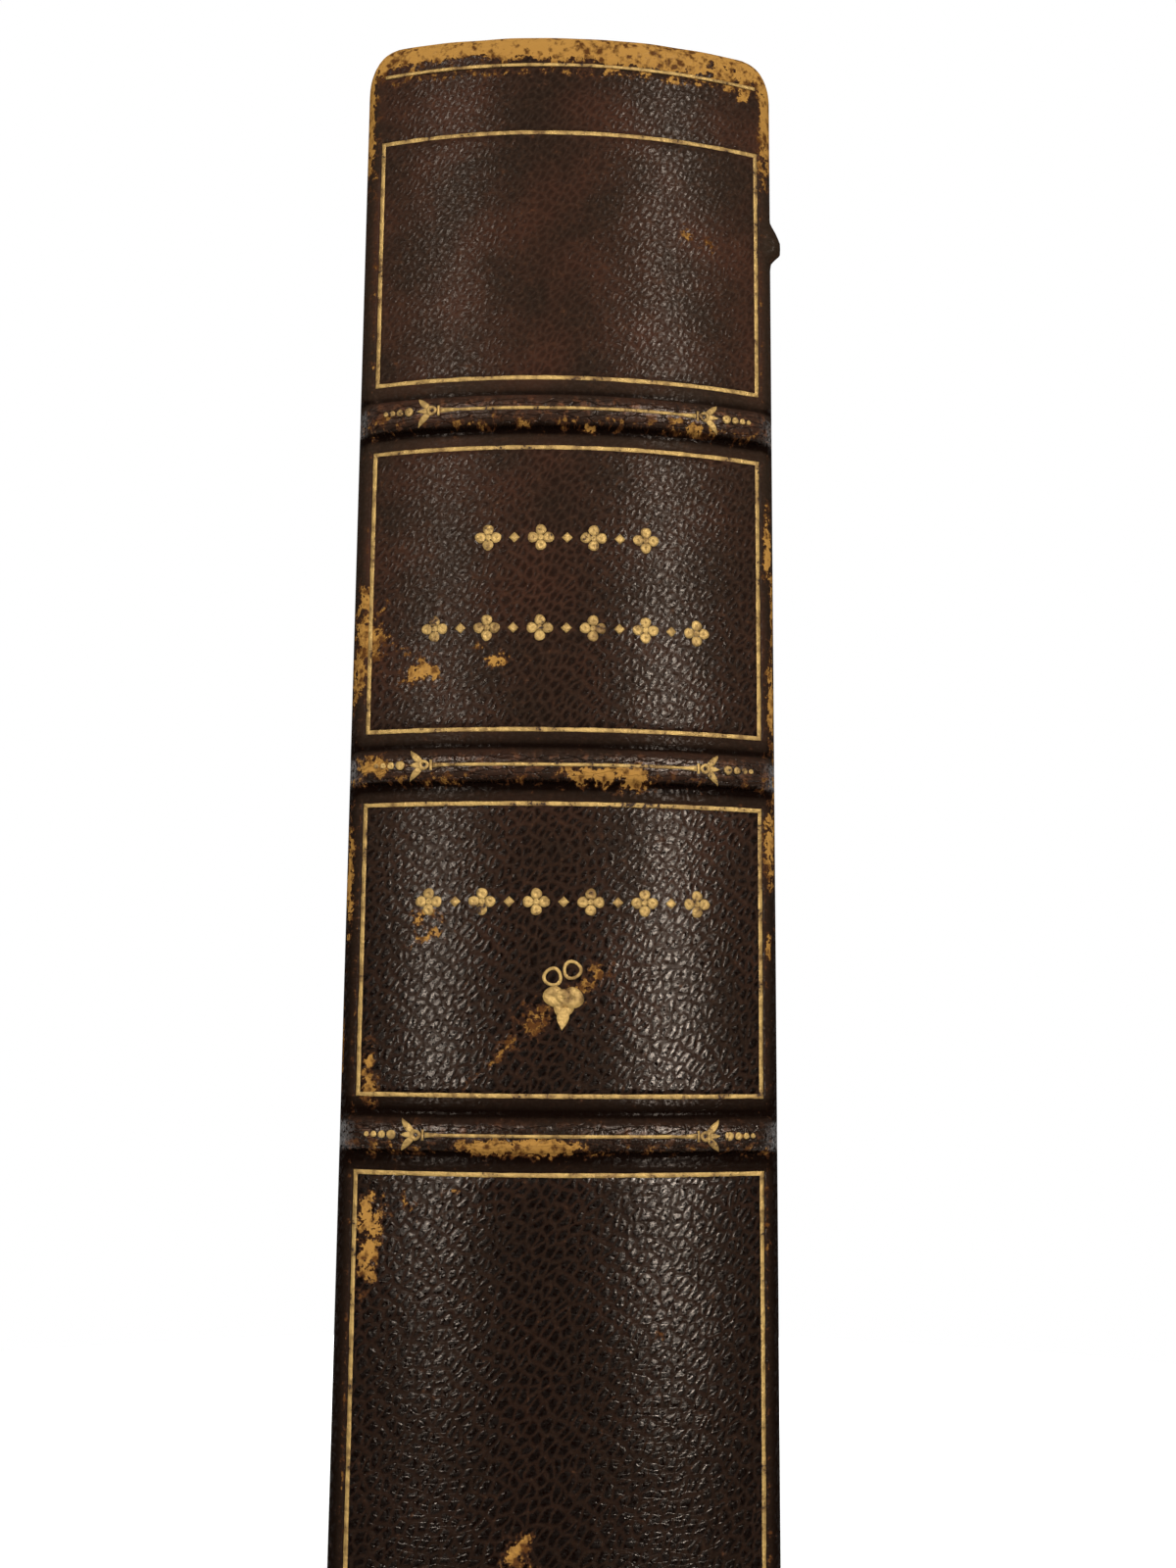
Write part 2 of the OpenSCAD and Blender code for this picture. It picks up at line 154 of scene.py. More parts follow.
class GiltSizes(bpy.types.PropertyGroup):
    """Sizes of the gold tooling on the spine."""
    line: length("Line", "Width of a gilt line", 0.38 * MM)
    groove: length("Groove", "Depth to which a line is pressed in", 0.14 * MM)
    leaf: length("Leaf", "Thickness given to the gold", 0.1 * MM)
    lift: length("Lift", "How far the gold lies over the leather under it", 0.035 * MM)
    inset: length("Inset", "Distance of the upright lines from the turn at the spine's sides", 0.37 * MM)
    end_line: length("End line", "Distance of the single lines from head and tail", 3.6 * MM)
    end_frame: length("End frame", "Distance of the end frames from head and tail", 10.9 * MM)
    margin: length("Margin", "Distance from a band's centre to the frames beside it", 3.55 * MM)
    band_line: length("Band line", "Half length of the gilt line along a band", 11 * MM)
    flower: length("Flower", "Height of the small flowers in the rows", 2.6 * MM)
    lozenge: length("Lozenge", "Half height of the lozenges between them", 0.52 * MM)
    pitch: length("Pitch", "Distance between two flowers of a row", 5.1 * MM)


class CoverSizes(bpy.types.PropertyGroup):
    """Sizes of the covers' leather and papers."""
    edge_round: length("Edge", "Rounding of the covers' outer edges", 0.8 * MM)
    inner_round: length("Inner edge", "Rounding of the covers' inner edges", 0.5 * MM)
    corner_round: length("Corner", "Wear-rounding of the covers' fore corners", 1.8 * MM)
    back_corner: length("Back corner", "Diagonal cut at the spine corners of a board", 3 * MM)
    turn_in: length("Turn-in", "Width of the leather turned in over the boards", 12 * MM)
    skin: length("Skin", "Thickness of the leather over the boards", 0.35 * MM)
    joint_depth: length("Joint depth", "Depth of the cover's edge where it thins to the joint", 1.3 * MM)
    uneven: length("Uneven", "Height of the waves on the faces of the covers", 0.05 * MM)
    seam: length("Seam", "How far the covers' leather starts before the joint line", 1.5 * MM)
    bend: length("Bend", "Half width of the leather that bends at the joint", 0.7 * MM)
    paper: length("Paper", "Thickness of an endpaper", 0.12 * MM)


class WearSizes(bpy.types.PropertyGroup):
    """What age has done to the shape of the spine's leather."""
    uneven: length("Uneven", "Height of the hide's slow waves", 0.07 * MM)
    crumple: length("Crumple", "Height of the hide's quick waves", 0.03 * MM)
    band_bow: length("Band bow", "How far a band wanders up and down", 0.1 * MM)
    crease: length("Crease", "Depth of the crease on each side of a band", 0.16 * MM)
    lump: length("Lump", "Height of the torn lump at the right joint", 1.25 * MM)
    lump_along: length("Lump along", "Its place along the spine from the middle", 21.4 * MM)
    lump_width: length("Lump width", "Its half width along the spine", 0.7 * MM)
    lump_foot: length("Lump foot", "Height of its lower end over the floor", 197 * MM)
    lump_head: length("Lump head", "Height of its upper end over the floor", 201.9 * MM)
    lump_rise: length("Lump rise", "Height in which its lower end rises", 0.7 * MM)
    lump_fall: length("Lump fall", "Height in which its upper end falls", 3 * MM)


class GrainSizes(bpy.types.PropertyGroup):
    """The leather's grain of pebbles in slanting rows, and the cracks on the bands."""
    pebble_length: length("Pebble length", "Length of a pebble along its row", 1.45 * MM)
    pebble_width: length("Pebble width", "Distance between two rows", 0.76 * MM)
    slant: number("Slant", "Slope of the rows, in degrees", 54)
    disorder: number("Disorder", "0 for even rows, 1 for a free scatter", 0.75)
    growth: number("Growth", "How much finer the grain gets for each metre upwards", 2.75)
    level: length("Level", "Height on the hide at which the grain has its own size", 100 * MM)
    crack_length: length("Crack length", "Length of the hide between two cracks", 2.4 * MM)
    crack_width: length("Crack width", "Width of the hide between two cracks", 0.55 * MM)
    depth: length("Depth", "Height of the whole relief of the grain", 0.11 * MM)


class Colours(bpy.types.PropertyGroup):
    """Colours of the book."""
    hide: colour("Hide", "The net of furrows between the pebbles", linear(46, 33, 25))
    # Also the colour of the painted shade by the bands and on the turn at the spine's sides.
    pebble: colour("Pebble", "The dark crowns of the pebbles", linear(13, 5, 3))
    red: colour("Red", "Reddish hide near the head", linear(66, 41, 30))
    olive: colour("Olive", "Faded hide at the joints", linear(53, 42, 31))
    fleck: colour("Fleck", "Bright flecks on the rubbed bands", linear(118, 72, 44))
    dust: colour("Dust", "Dust in the furrows", linear(66, 54, 45))
    rim: colour("Rim", "Thin dye round a worn place", linear(94, 56, 30))
    tan: colour("Tan", "Hide with its dye worn off", linear(174, 127, 62))
    dark_tan: colour("Dark tan", "Specks of dye on worn hide", linear(88, 54, 26))
    gold: colour("Gold", "Gold leaf", linear(218, 177, 104))
    old_gold: colour("Old gold", "Rubbed gold leaf", linear(128, 94, 52))
    under_gold: colour("Under gold", "Hide that shows through the gold", linear(58, 38, 24))
    paper: colour("Paper", "Aged paper", linear(226, 208, 170))
    foxing: colour("Foxing", "Brown spots and edges of old paper", linear(168, 128, 78))
    silk: colour("Silk", "Pale thread of the endbands", linear(196, 170, 112))
    silk_red: colour("Red silk", "Red thread of the endbands", linear(116, 44, 34))
    silk_soil: colour("Soiled silk", "Soil on both threads", linear(84, 60, 38))


class Studio(bpy.types.PropertyGroup):
    """The light and the camera."""
    fill: number("Fill", "Strength of the light from all round", 0.28)
    front: number("Front", "Strength of what the book mirrors from the front", 0.015)
    behind: number("Behind", "Strength of what the book mirrors from behind", 0.5)
    strip: number("Strip", "Mean power of the two tall lamps, in watts", 4.3)
    strip_away: length("Strip away", "Distance of the tall lamps from the spine", 950 * MM)
    strip_height: length("Strip height", "Height of the middle of the tall lamps", 420 * MM)
    lens: number("Lens", "Focal length in millimetres on a sensor 36 mm wide", 38.338)
    distance: length("Distance", "From the camera to the crest of the bands", 155.66 * MM)
    height: length("Height", "Height of the camera over the floor", 119.6 * MM)
    aside: length("Aside", "Place of the camera across the book", -4.17 * MM)
    pitch: number("Pitch", "Tilt of the camera upwards, in degrees", 8.307)
    yaw: number("Yaw", "Turn of the camera to the right, in degrees", 2.339)
    roll: number("Roll", "Roll of the camera, in degrees", 0.4697)


def settings(name):
    """One of the groups of properties above."""
    return getattr(bpy.context.scene, name)


def book():
    """The sizes that the frame gives: covers, leaves, joint line, bands and the curve of the spine."""
    spine = settings("book_spine")
    cover_low, cover_high = NODE_BOX["front_leather"]
    leaf_low, leaf_high = NODE_BOX["text_block"]
    spine_low, spine_high = NODE_BOX["spine_leather"]
    fly_low, fly_high = NODE_BOX["front_flyleaf"]
    paste_low, paste_high = NODE_BOX["front_pastedown"]
    joint = frame["joints"][0]
    b = SimpleNamespace(height=cover_high[2], cover_x=cover_high[0], fore_y=cover_high[1],
                        cover_thick=cover_high[0] - cover_low[0], hinge_y=joint["pos_m"][1],
                        leaf_low=leaf_low, leaf_high=leaf_high, side_x=spine_high[0],
                        fly_x=(fly_low[0] + fly_high[0]) / 2, leaf_x=fly_low[0], board_y=fly_low[1],
                        paste_x=(paste_low[0] + paste_high[0]) / 2)
    b.crest_y = spine_low[1] + spine.band_height
    b.axis_y = b.crest_y + spine.round_radius
    b.corner_x = b.side_x - spine.corner_radius
    inner = spine.round_radius - spine.corner_radius
    b.corner_y = b.axis_y - math.sqrt(inner ** 2 - b.corner_x ** 2)
    b.turn = math.asin(b.corner_x / inner)
    b.turn_s = b.turn * spine.round_radius
    b.corner_s = b.turn_s + (math.pi / 2 - b.turn) * spine.corner_radius
    b.joint_s = b.corner_s + b.hinge_y - b.corner_y
    b.bands = [float(np.mean([c[2] for c in NODE_BOX[f"raised_band_{i}"]])) for i in BAND_NUMBERS]
    return b


def ripple(a, b, seed=0.0):
    """A smooth uneven field from -1 to 1: the mean of five sine waves that run in different directions."""
    waves = [(1.0, 0.31, 0.0), (-0.53, 0.87, 1.7), (0.71, -1.13, 4.1), (1.37, 0.59, 2.3), (-0.29, -1.61, 5.2)]
    return sum(np.sin(a * u + b * v + p + seed * (1 + u)) for u, v, p in waves) / len(waves)


def ease(value, start, end):
    """A smooth step from 0 at start to 1 at end, with level ends."""
    share = np.clip((value - start) / (end - start), 0, 1)
    return share * share * (3 - 2 * share)


def spine_line(s):
    """Plan point and outward normal at a length s along the spine.

    The line is a wide arc, a small arc and a straight side, the same to the left and the right."""
    b, spine = book(), settings("book_spine")
    radius, turn_r = spine.round_radius, spine.corner_radius
    side, along = np.sign(s), np.abs(s)
    wide = np.minimum(along, b.turn_s) / radius
    small = np.clip(along - b.turn_s, 0, b.corner_s - b.turn_s) / turn_r
    angle = wide + small
    past = along > b.turn_s
    x = np.where(past, b.corner_x + turn_r * np.sin(angle), radius * np.sin(wide))
    y = np.where(past, b.corner_y - turn_r * np.cos(angle), b.axis_y - radius * np.cos(wide))
    y = y + np.maximum(along - b.corner_s, 0)
    return np.stack([side * x, y], -1), np.stack([side * np.sin(angle), -np.cos(angle)], -1)


def end_drop(s):
    """How far the spine's ends fall at its corners: a quarter circle's sagitta beyond the corner's start."""
    b, corner = book(), settings("book_spine").cap_corner
    x = np.abs(spine_line(s)[0][..., 0])
    past = np.clip(x - (b.side_x - corner), 0, corner * 0.999)
    return corner - np.sqrt(corner ** 2 - past ** 2)


def frame_panels():
    """The lowest and highest z of each of the five gilt frames, from the head down."""
    b, gilt = book(), settings("book_gilt")
    tops = [b.height - gilt.end_frame] + [z - gilt.margin for z in b.bands]
    ends = [z + gilt.margin for z in b.bands] + [gilt.end_frame]
    return list(zip(ends, tops))


def end_lines():
    """The z of the two single gilt lines."""
    b, gilt = book(), settings("book_gilt")
    return [gilt.end_line, b.height - gilt.end_line]


def line_side():
    """Length along the spine from its middle to the upright gilt lines."""
    return book().turn_s - settings("book_gilt").inset


def gilt_trough(s, z):
    """How far the leather is pressed in for the gilt lines, from 0 to 1, at arc length s and height z.

    A line's section is e to the minus fourth power of the distance from its middle over its half width."""
    side, half, along = line_side(), settings("book_gilt").line / 2, np.abs(s)
    inside = 1 - ease(along, side + 0.5 * half, side + 1.6 * half)
    trough = np.zeros(np.broadcast(s, z).shape)
    for level in [level for panel in frame_panels() for level in panel] + end_lines():
        trough = np.maximum(trough, inside * np.exp(-((z - level) / (1.1 * half)) ** 4))
    for low, high in frame_panels():
        within = ease(z, low - 1.6 * half, low) * (1 - ease(z, high, high + 1.6 * half))
        trough = np.maximum(trough, within * np.exp(-((along - side) / (1.1 * half)) ** 4))
    return trough


def torn_lump(s, z):
    """Height of the torn lump at the right joint: steep at its foot, running out upwards, and rough."""
    wear = settings("book_wear")
    across = np.exp(-((s - wear.lump_along) / wear.lump_width) ** 2)
    foot = ease(z, wear.lump_foot, wear.lump_foot + wear.lump_rise)
    head = 1 - ease(z, wear.lump_head - wear.lump_fall, wear.lump_head)
    return wear.lump * across * foot * head * (1 + 0.3 * ripple(s / (0.5 * MM), z / (0.6 * MM), 2.0))


def relief(s, z):
    """How far the worked leather stands out of the plain curve, at arc length s and height z.

    A band is its height times the root of one less the cube of the distance from its centre, with a crease
    on each side; it fades towards the joints. To this come slow and quick waves, the troughs of the gilt
    lines and the torn lump."""
    b, spine, wear = book(), settings("book_spine"), settings("book_wear")
    along = np.abs(s)
    slow = wear.uneven * ripple(s / (7 * MM), z / (9 * MM))
    quick = wear.crumple * ripple(s / (2.1 * MM), z / (2.7 * MM), 3.0)
    out = (slow + quick) * (1 - ease(along, b.turn_s, b.corner_s))
    fade = 1 - ease(along, b.turn_s - 1.1 * MM, b.corner_s - 1.2 * MM)
    for i, centre in enumerate(b.bands):
        bow = wear.band_bow * ripple(s / (6 * MM), 0, i)
        away = np.abs(z - centre - bow) / (spine.band_width / 2)
        rubbed = 1 + 0.05 * ripple(s / (1.6 * MM), 0, i + 5)
        crown = np.sqrt(np.clip(1 - np.clip(away, 0, 1) ** 3, 0, 1))
        crease = np.exp(-((away - 1.22) / 0.2) ** 2)
        out = out + fade * (spine.band_height * rubbed * crown - wear.crease * crease)
    return out - settings("book_gilt").groove * gilt_trough(s, z) + torn_lump(s, z)


def on_spine(s, z, lift):
    """Points over the worked leather: the plan point at s, moved out along its normal by relief and lift."""
    plan, normal = spine_line(s)
    flat = plan + normal * (relief(s, z) + lift)[..., None]
    return np.concatenate([flat, np.broadcast_to(z, s.shape)[..., None]], -1)


def quads(rows, columns, round_rows=False, round_columns=False):
    """Corner numbers of the faces of a grid of points, row by row, closed on itself where asked."""
    r = np.arange(rows if round_rows else rows - 1)[:, None]
    c = np.arange(columns if round_columns else columns - 1)[None, :]
    up, across = (r + 1) % rows, (c + 1) % columns
    corners = [r * columns + c, r * columns + across, up * columns + across, up * columns + c]
    return np.stack(np.broadcast_arrays(*corners), -1).reshape(-1, 4)


def make_piece(name, points, faces, hide_map=None, fields=None, smooth=True, closed=True, facing=None):
    """A mesh object from arrays: points (n, 3), and faces as a list of arrays of corner numbers.

    Points that lie on each other are merged. A closed shell's normals are worked out to point outwards; an
    open one is turned over as a whole if its area faces away from the direction given."""
    blocks = [np.asarray(block) for block in faces]
    corner = np.concatenate([block.ravel() for block in blocks])
    sizes = np.concatenate([np.full(len(block), block.shape[1]) for block in blocks])
    mesh = bpy.data.meshes.new(name)
    mesh.vertices.add(len(points))
    mesh.vertices.foreach_set("co", np.asarray(points, np.float32).ravel())
    mesh.loops.add(len(corner))
    mesh.loops.foreach_set("vertex_index", corner.astype(np.int32))
    mesh.polygons.add(len(sizes))
    mesh.polygons.foreach_set("loop_start", np.concatenate([[0], np.cumsum(sizes)[:-1]]).astype(np.int32))
    mesh.polygons.foreach_set("use_smooth", np.full(len(sizes), smooth))
    mesh.update(calc_edges=True)
    for key, value in (fields or {}).items():
        field = mesh.attributes.new(key, "FLOAT", "POINT")
        field.data.foreach_set("value", np.asarray(value, np.float32).ravel())
    if hide_map is not None:
        layer = mesh.uv_layers.new(name=HIDE_MAP)
        layer.data.foreach_set("uv", np.asarray(hide_map, np.float32).reshape(-1, 2)[corner].ravel())
    work = bmesh.new()
    work.from_mesh(mesh)
    bmesh.ops.remove_doubles(work, verts=work.verts, dist=SAME_POINT)
    bmesh.ops.dissolve_degenerate(work, edges=work.edges, dist=SAME_POINT / 10)
    if closed:
        bmesh.ops.recalc_face_normals(work, faces=work.faces)
    else:
        whole = sum((f.normal * f.calc_area() for f in work.faces), Vector())
        if whole.dot(Vector(facing)) < 0:
            bmesh.ops.reverse_faces(work, faces=work.faces)
    work.to_mesh(mesh)
    work.free()
    piece = bpy.data.objects.new(name, mesh)
    bpy.context.scene.collection.objects.link(piece)
    return piece


def end_faces(rows, columns):
    """The two faces that close a tube whose grid has its rings in its columns."""
    return [np.arange(rows)[None, :] * columns + column for column in (0, columns - 1)]


def thicken(piece, thickness, offset=-1.0):
    """Gives an open sheet its thickness, inwards from its face unless told otherwise."""
    wall = piece.modifiers.new("Thickness", "SOLIDIFY")
    wall.thickness, wall.offset = thickness, offset
    wall.use_even_offset = False


class Number:
    """A shader socket used as a number: an expression on it adds its Math nodes."""

    def __init__(self, nodes, socket):
        self.nodes, self.socket = nodes, socket

    def maths(self, operation, *values, clamp=False):
        return self.nodes.node("ShaderNodeMath", {"operation": operation, "use_clamp": clamp},
                               dict(enumerate(values)))

    def __add__(self, other):
        return self.maths("ADD", self, other)

    def __sub__(self, other):
        return self.maths("SUBTRACT", self, other)

    def __rsub__(self, other):
        return self.maths("SUBTRACT", other, self)

    def __mul__(self, other):
        return self.maths("MULTIPLY", self, other)

    __radd__, __rmul__ = __add__, __mul__

    def clamp(self):
        return self.maths("ADD", self, 0.0, clamp=True)

    def most(self, other):
        return self.maths("MAXIMUM", self, other)

    def least(self, other):
        return self.maths("MINIMUM", self, other)

    def ease(self, start, end):
        """A smooth step from 0 at start to 1 at end."""
        return self.nodes.node("ShaderNodeMapRange", {"interpolation_type": "SMOOTHSTEP"},
                               {"Value": self, "From Min": start, "From Max": end})


class Nodes:
    """A node tree to which nodes are added, each with its settings and the values of its sockets."""

    def __init__(self, tree):
        self.tree = tree
        self.tree.nodes.clear()

    def fill(self, node, values):
        """Sets or links a node's sockets, by name or number."""
        for key, value in values.items():
            socket = node.inputs[key]
            if isinstance(value, Number):
                self.tree.links.new(value.socket, socket)
            elif hasattr(value, "__len__") and len(socket.default_value) > len(value):
                socket.default_value = (*value, 1)
            else:
                socket.default_value = value

    def node(self, kind, options=None, values=None, output=0):
        """Adds a node: its options are set first, then its sockets. Returns one output."""
        node = self.tree.nodes.new(kind)
        for key, value in (options or {}).items():
            setattr(node, key, value)
        self.fill(node, values or {})
        return Number(self, node.outputs[output])

    def shader_to(self, kind, output, values):
        """Adds a shader that goes to the tree's output."""
        shader, out = self.tree.nodes.new(kind), self.tree.nodes.new(output)
        self.fill(shader, values)
        self.tree.links.new(shader.outputs[0], out.inputs[0])
        return shader, out


class Finish(Nodes):
    """A material made of nodes around one Principled shader."""

    def __init__(self, name):
        self.material = bpy.data.materials.new(name)
        self.material.use_nodes = True
        super().__init__(self.material.node_tree)
        self.shader, self.output = self.shader_to("ShaderNodeBsdfPrincipled", "ShaderNodeOutputMaterial", {})

    def look(self, colour, roughness, specular, **others):
        """Sets the shader's colour, roughness and specular level, and any other socket by its name."""
        self.fill(self.shader, {"Base Color": colour, "Roughness": roughness, "Specular IOR Level": specular})
        self.fill(self.shader, {name.replace("_", " "): value for name, value in others.items()})

    def mix(self, share, first, second):
        """One colour passing into another."""
        return self.node("ShaderNodeMix", {"data_type": "RGBA"}, {0: share, 6: first, 7: second}, output=2)

    def noise(self, place, scale, detail=2.0, rough=0.5, dimensions="3D"):
        """Fractal noise from 0 to 1 about 0.5."""
        return self.node("ShaderNodeTexNoise", {"noise_dimensions": dimensions},
                         {"Vector": place, "Scale": scale, "Detail": detail, "Roughness": rough})

    def cells(self, place, feature, scale=1.0, random=1.0, dimensions="2D"):
        """Distances in a Voronoi pattern."""
        return self.node("ShaderNodeTexVoronoi", {"voronoi_dimensions": dimensions, "feature": feature},
                         {"Vector": place, "Scale": scale, "Randomness": random}, output="Distance")

    def turned(self, place, sizes, turn=0.0):
        """A place turned by an angle, then counted in cells of the given sizes."""
        return self.node("ShaderNodeMapping", {"vector_type": "TEXTURE"},
                         {"Vector": place, "Rotation": (0, 0, turn), "Scale": sizes})

    def warped(self, place, scale, amount):
        """A place pushed about by noise, so that a pattern on it loses its regularity."""
        push = self.node("ShaderNodeTexNoise", {"noise_dimensions": "2D"}, {"Vector": place, "Scale": scale},
                         output="Color")
        centred = self.node("ShaderNodeVectorMath", {"operation": "SUBTRACT"}, {0: push, 1: (0.5, 0.5, 0.5)})
        return self.node("ShaderNodeVectorMath", {"operation": "MULTIPLY_ADD"},
                         {0: centred, 1: (amount, amount, 0), 2: place})

    def grown(self, place, growth, level):
        """A place on the hide where the grain gets finer upwards, and stays as round as it was.

        With w = (v - level) + i u it is w + growth w^2 / 2, whose stretch is 1 + growth (v - level)."""
        u, v = (self.node("ShaderNodeSeparateXYZ", {}, {"Vector": place}, output=axis) for axis in "XY")
        v = v - level
        return self.node("ShaderNodeCombineXYZ", {},
                         {"X": u + growth * u * v, "Y": v + (0.5 * growth) * (v * v - u * u)})

    def field(self, name):
        """A number that the mesh carries at its points."""
        return self.node("ShaderNodeAttribute", {"attribute_name": name}, output="Fac")

    def hide_place(self):
        """Place on the hide, in metres along and up."""
        return self.node("ShaderNodeUVMap", {"uv_map": HIDE_MAP})

    def object_place(self):
        """Place on the object, in metres."""
        return self.node("ShaderNodeTexCoord", output="Object")

    def bump(self, height, depth, strength=1.0):
        """The normal for a height from 0 to 1 and its depth in metres, set on the shader."""
        normal = self.node("ShaderNodeBump", {}, {"Height": height, "Distance": depth, "Strength": strength})
        self.fill(self.shader, {"Normal": normal})
        return normal

    def polish(self, share, colour, roughness, normal):
        """Mixes a second, polished shader of the same colour over the first one by a share from 0 to 1."""
        gloss = self.tree.nodes.new("ShaderNodeBsdfPrincipled")
        self.fill(gloss, {"Base Color": colour, "Roughness": roughness, "Normal": normal,
                          "Specular IOR Level": 1.0, "Specular Tint": POLISH_TINT})
        both = self.tree.nodes.new("ShaderNodeMixShader")
        self.fill(both, {0: share})
        self.tree.links.new(self.shader.outputs[0], both.inputs[1])
        self.tree.links.new(gloss.outputs[0], both.inputs[2])
        self.tree.links.new(both.outputs[0], self.output.inputs[0])


class Leather(Finish):
    """Goatskin: dark glossy pebbles in a lighter net of furrows, and dye worn off to tan.

    The mesh carries what the place on the book decides: worn where the dye is lost, pressed where the grain
    is flat, soot where it has faded to olive, a field of tone and painted shade (darker downwards, with
    painted shade in the creases over and under the bands and on the turn at the spine's sides), rub for
    cracked wear, and scuffed where the hide is scratched."""

    def __init__(self):
        super().__init__("worn_morocco")
        self.place = self.hide_place()
        fields = ("worn", "pressed", "soot", "tone", "rub", "scuffed")
        self.worn, self.pressed, self.soot, self.tone, self.rub, self.scuffed = map(self.field, fields)
        self.fine, self.middle, self.broad = (self.noise(self.place, *grade, "2D") for grade in HIDE_NOISES)
        self.cover_hide()

    def grain(self):
        """The pebbles' crowns and the domes under them: cells in slanting rows, flattened by pressing."""
        sizes = settings("book_grain")
        place = self.grown(self.place, sizes.growth, sizes.level)
        for scale, amount in GRAIN_WARPS:
            place = self.warped(place, scale, amount)
        place = self.turned(place, (sizes.pebble_length, sizes.pebble_width, 1), math.radians(sizes.slant))
        from_edge = self.cells(place, "DISTANCE_TO_EDGE", random=sizes.disorder)
        from_middle = self.cells(place, "SMOOTH_F1", random=sizes.disorder)
        raised = ((1 - 0.92 * self.pressed) * (0.85 + 0.6 * (self.broad - 0.35))).clamp()
        crown = (from_edge.ease(0.02, 0.3) * (1 - 0.35 * from_middle.ease(0.25, 0.6)) * raised).clamp()
        return crown, from_edge.ease(0.0, 0.42) * raised

    def cracks(self):
        """Cracks along the rubbed bands: the edges of long flat cells."""
        sizes = settings("book_grain")
        place = self.warped(self.place, 700, 0.5 * MM)
        place = self.turned(place, (sizes.crack_length, sizes.crack_width, 1), math.radians(3))
        return self.rub * (1 - self.cells(place, "DISTANCE_TO_EDGE").ease(0.0, 0.11))

    def dyed_and_shaded(self, pebble, crack):
        """Dyed hide: reddish near the head, olive at the joints, dust in the furrows, darker downwards, and
        painted shade, in the pebbles' dark colour, in the creases by the bands and on the turn at the spine's
        sides.
        """
        c = settings("book_colours")
        reddish = 3.0 * (self.broad - 0.36) * (1.6 * self.tone - 0.6)
        flecks = (3.2 * (self.middle - 0.52) + 1.6 * (self.fine - 0.5)).clamp()
        dust = 1.4 * (self.fine - 0.45) * (1 - pebble)
        # The pebbles go darker where the tone field is low, so deeper in the painted shade too.
        deep = 0.25 + 2.2 * (1 - self.tone)
        hide = self.mix(reddish.clamp(), c.hide, c.red)
        hide = self.mix(self.soot, hide, c.olive)
        hide = self.mix((self.rub * flecks).clamp(), hide, c.fleck)
        hide = self.mix(dust.clamp(), hide, c.dust)
        hide = self.mix((pebble * deep + 0.7 * crack).clamp(), hide, c.pebble)
        # Darker where the tone field is low: downwards, and painted shade in the creases by the bands and on
        # the turn at the spine's sides.
        return self.mix(0.95 * (1 - self.tone).ease(0.05, 0.87), hide, c.pebble)

    def undyed(self, pebble):
        """Hide with its dye worn off: tan, with specks of dye left in it."""
        c = settings("book_colours")
        dots = 1 - self.cells(self.warped(self.place, 900, 0.5 * MM), "F1", scale=850).ease(0.1, 0.42)
        specks = 0.2 * pebble + 0.75 * dots + 3.0 * (self.middle - 0.54) + 1.8 * (self.fine - 0.5)
        return self.mix((specks + 2 * (self.broad - 0.5)).clamp(), c.tan, c.dark_tan)

    def wear_edge(self, pebble):
        """How far a point lies inside a worn place: over 0 the dye is gone. Noise frays its outline."""
        streaks = self.noise(self.turned(self.place, (0.6, 1.5, 1), 0.7), 46, 4, 0.72, "2D").ease(0.6, 0.78)
        ragged = 1.5 * (self.fine - 0.5) + 2.3 * (self.middle - 0.5) - 0.12 * pebble
        return self.worn + 1.1 * self.scuffed * streaks + ragged

    def gloss(self, pebble, bare):
        """Share of polish: the pebbles', more where the tone field is darker, and the bands', broken by fine
        noise.
        """
        broken = (5.5 * (self.fine - 0.37)).clamp() * (1 - 0.85 * bare)
        darker = (0.93 - self.tone).most(0)
        sheen = (0.3 + 7.5 * darker * darker).least(1.6)
        pebbles = (0.08 * (1 - self.pressed) + 0.95 * pebble) * sheen
        bands = 0.8 * self.rub * self.rub * (2.5 - 2.15 * self.tone)
        return ((pebbles + bands) * broken).clamp()

    def cover_hide(self):
        """Joins grain, cracks, colours and polish."""
        pebble, dome = self.grain()
        crack = self.cracks()
        edge = self.wear_edge(pebble)
        bare = edge.ease(-0.03, 0.06)
        rim = edge.ease(-0.42, 0.0) * (1 - bare)
        dyed_and_shaded = self.mix(rim * 0.5, self.dyed_and_shaded(pebble, crack), settings("book_colours").rim)
        whole = self.mix(bare, dyed_and_shaded, self.undyed(pebble))
        rough = 0.3 * self.rub
        height = 0.14 * dome + (0.035 + rough) * self.fine + (0.045 + rough) * self.middle
        normal = self.bump(height - 0.5 * bare - 0.7 * crack, settings("book_grain").depth)
        self.look(whole, 0.7, 0.0)
        self.polish(self.gloss(pebble, bare), whole, (0.12 + 0.2 * self.middle).clamp(), normal)


def leather():
    """The one leather of spine and covers."""
    return bpy.data.materials.get("worn_morocco") or Leather().material


def gold():
    """Gold leaf pressed into leather: bright, unevenly rubbed, with specks where the hide shows through."""
    found = bpy.data.materials.get("worn_gold")
    if found:
        return found
    c = settings("book_colours")
    f = Finish("worn_gold")
    place = f.object_place()
    fine = f.noise(place, 3600, 3, 0.65)
    middle = f.noise(place, 900, 2)
    broad = f.noise(place, 160, 2)
    gone = (fine * 0.7 + middle * 0.5 + broad * 0.3).ease(0.86, 0.93)
    leaf = f.mix((3.2 * (middle - 0.42)).clamp(), c.gold, c.old_gold)
    f.look(f.mix(gone, leaf, c.under_gold), (0.26 + 0.35 * fine + 0.3 * gone).clamp(), 0.5,
           Metallic=0.45 * (1 - gone))
    f.bump(fine * 0.7 + middle, 0.17 * MM)
    return f.material


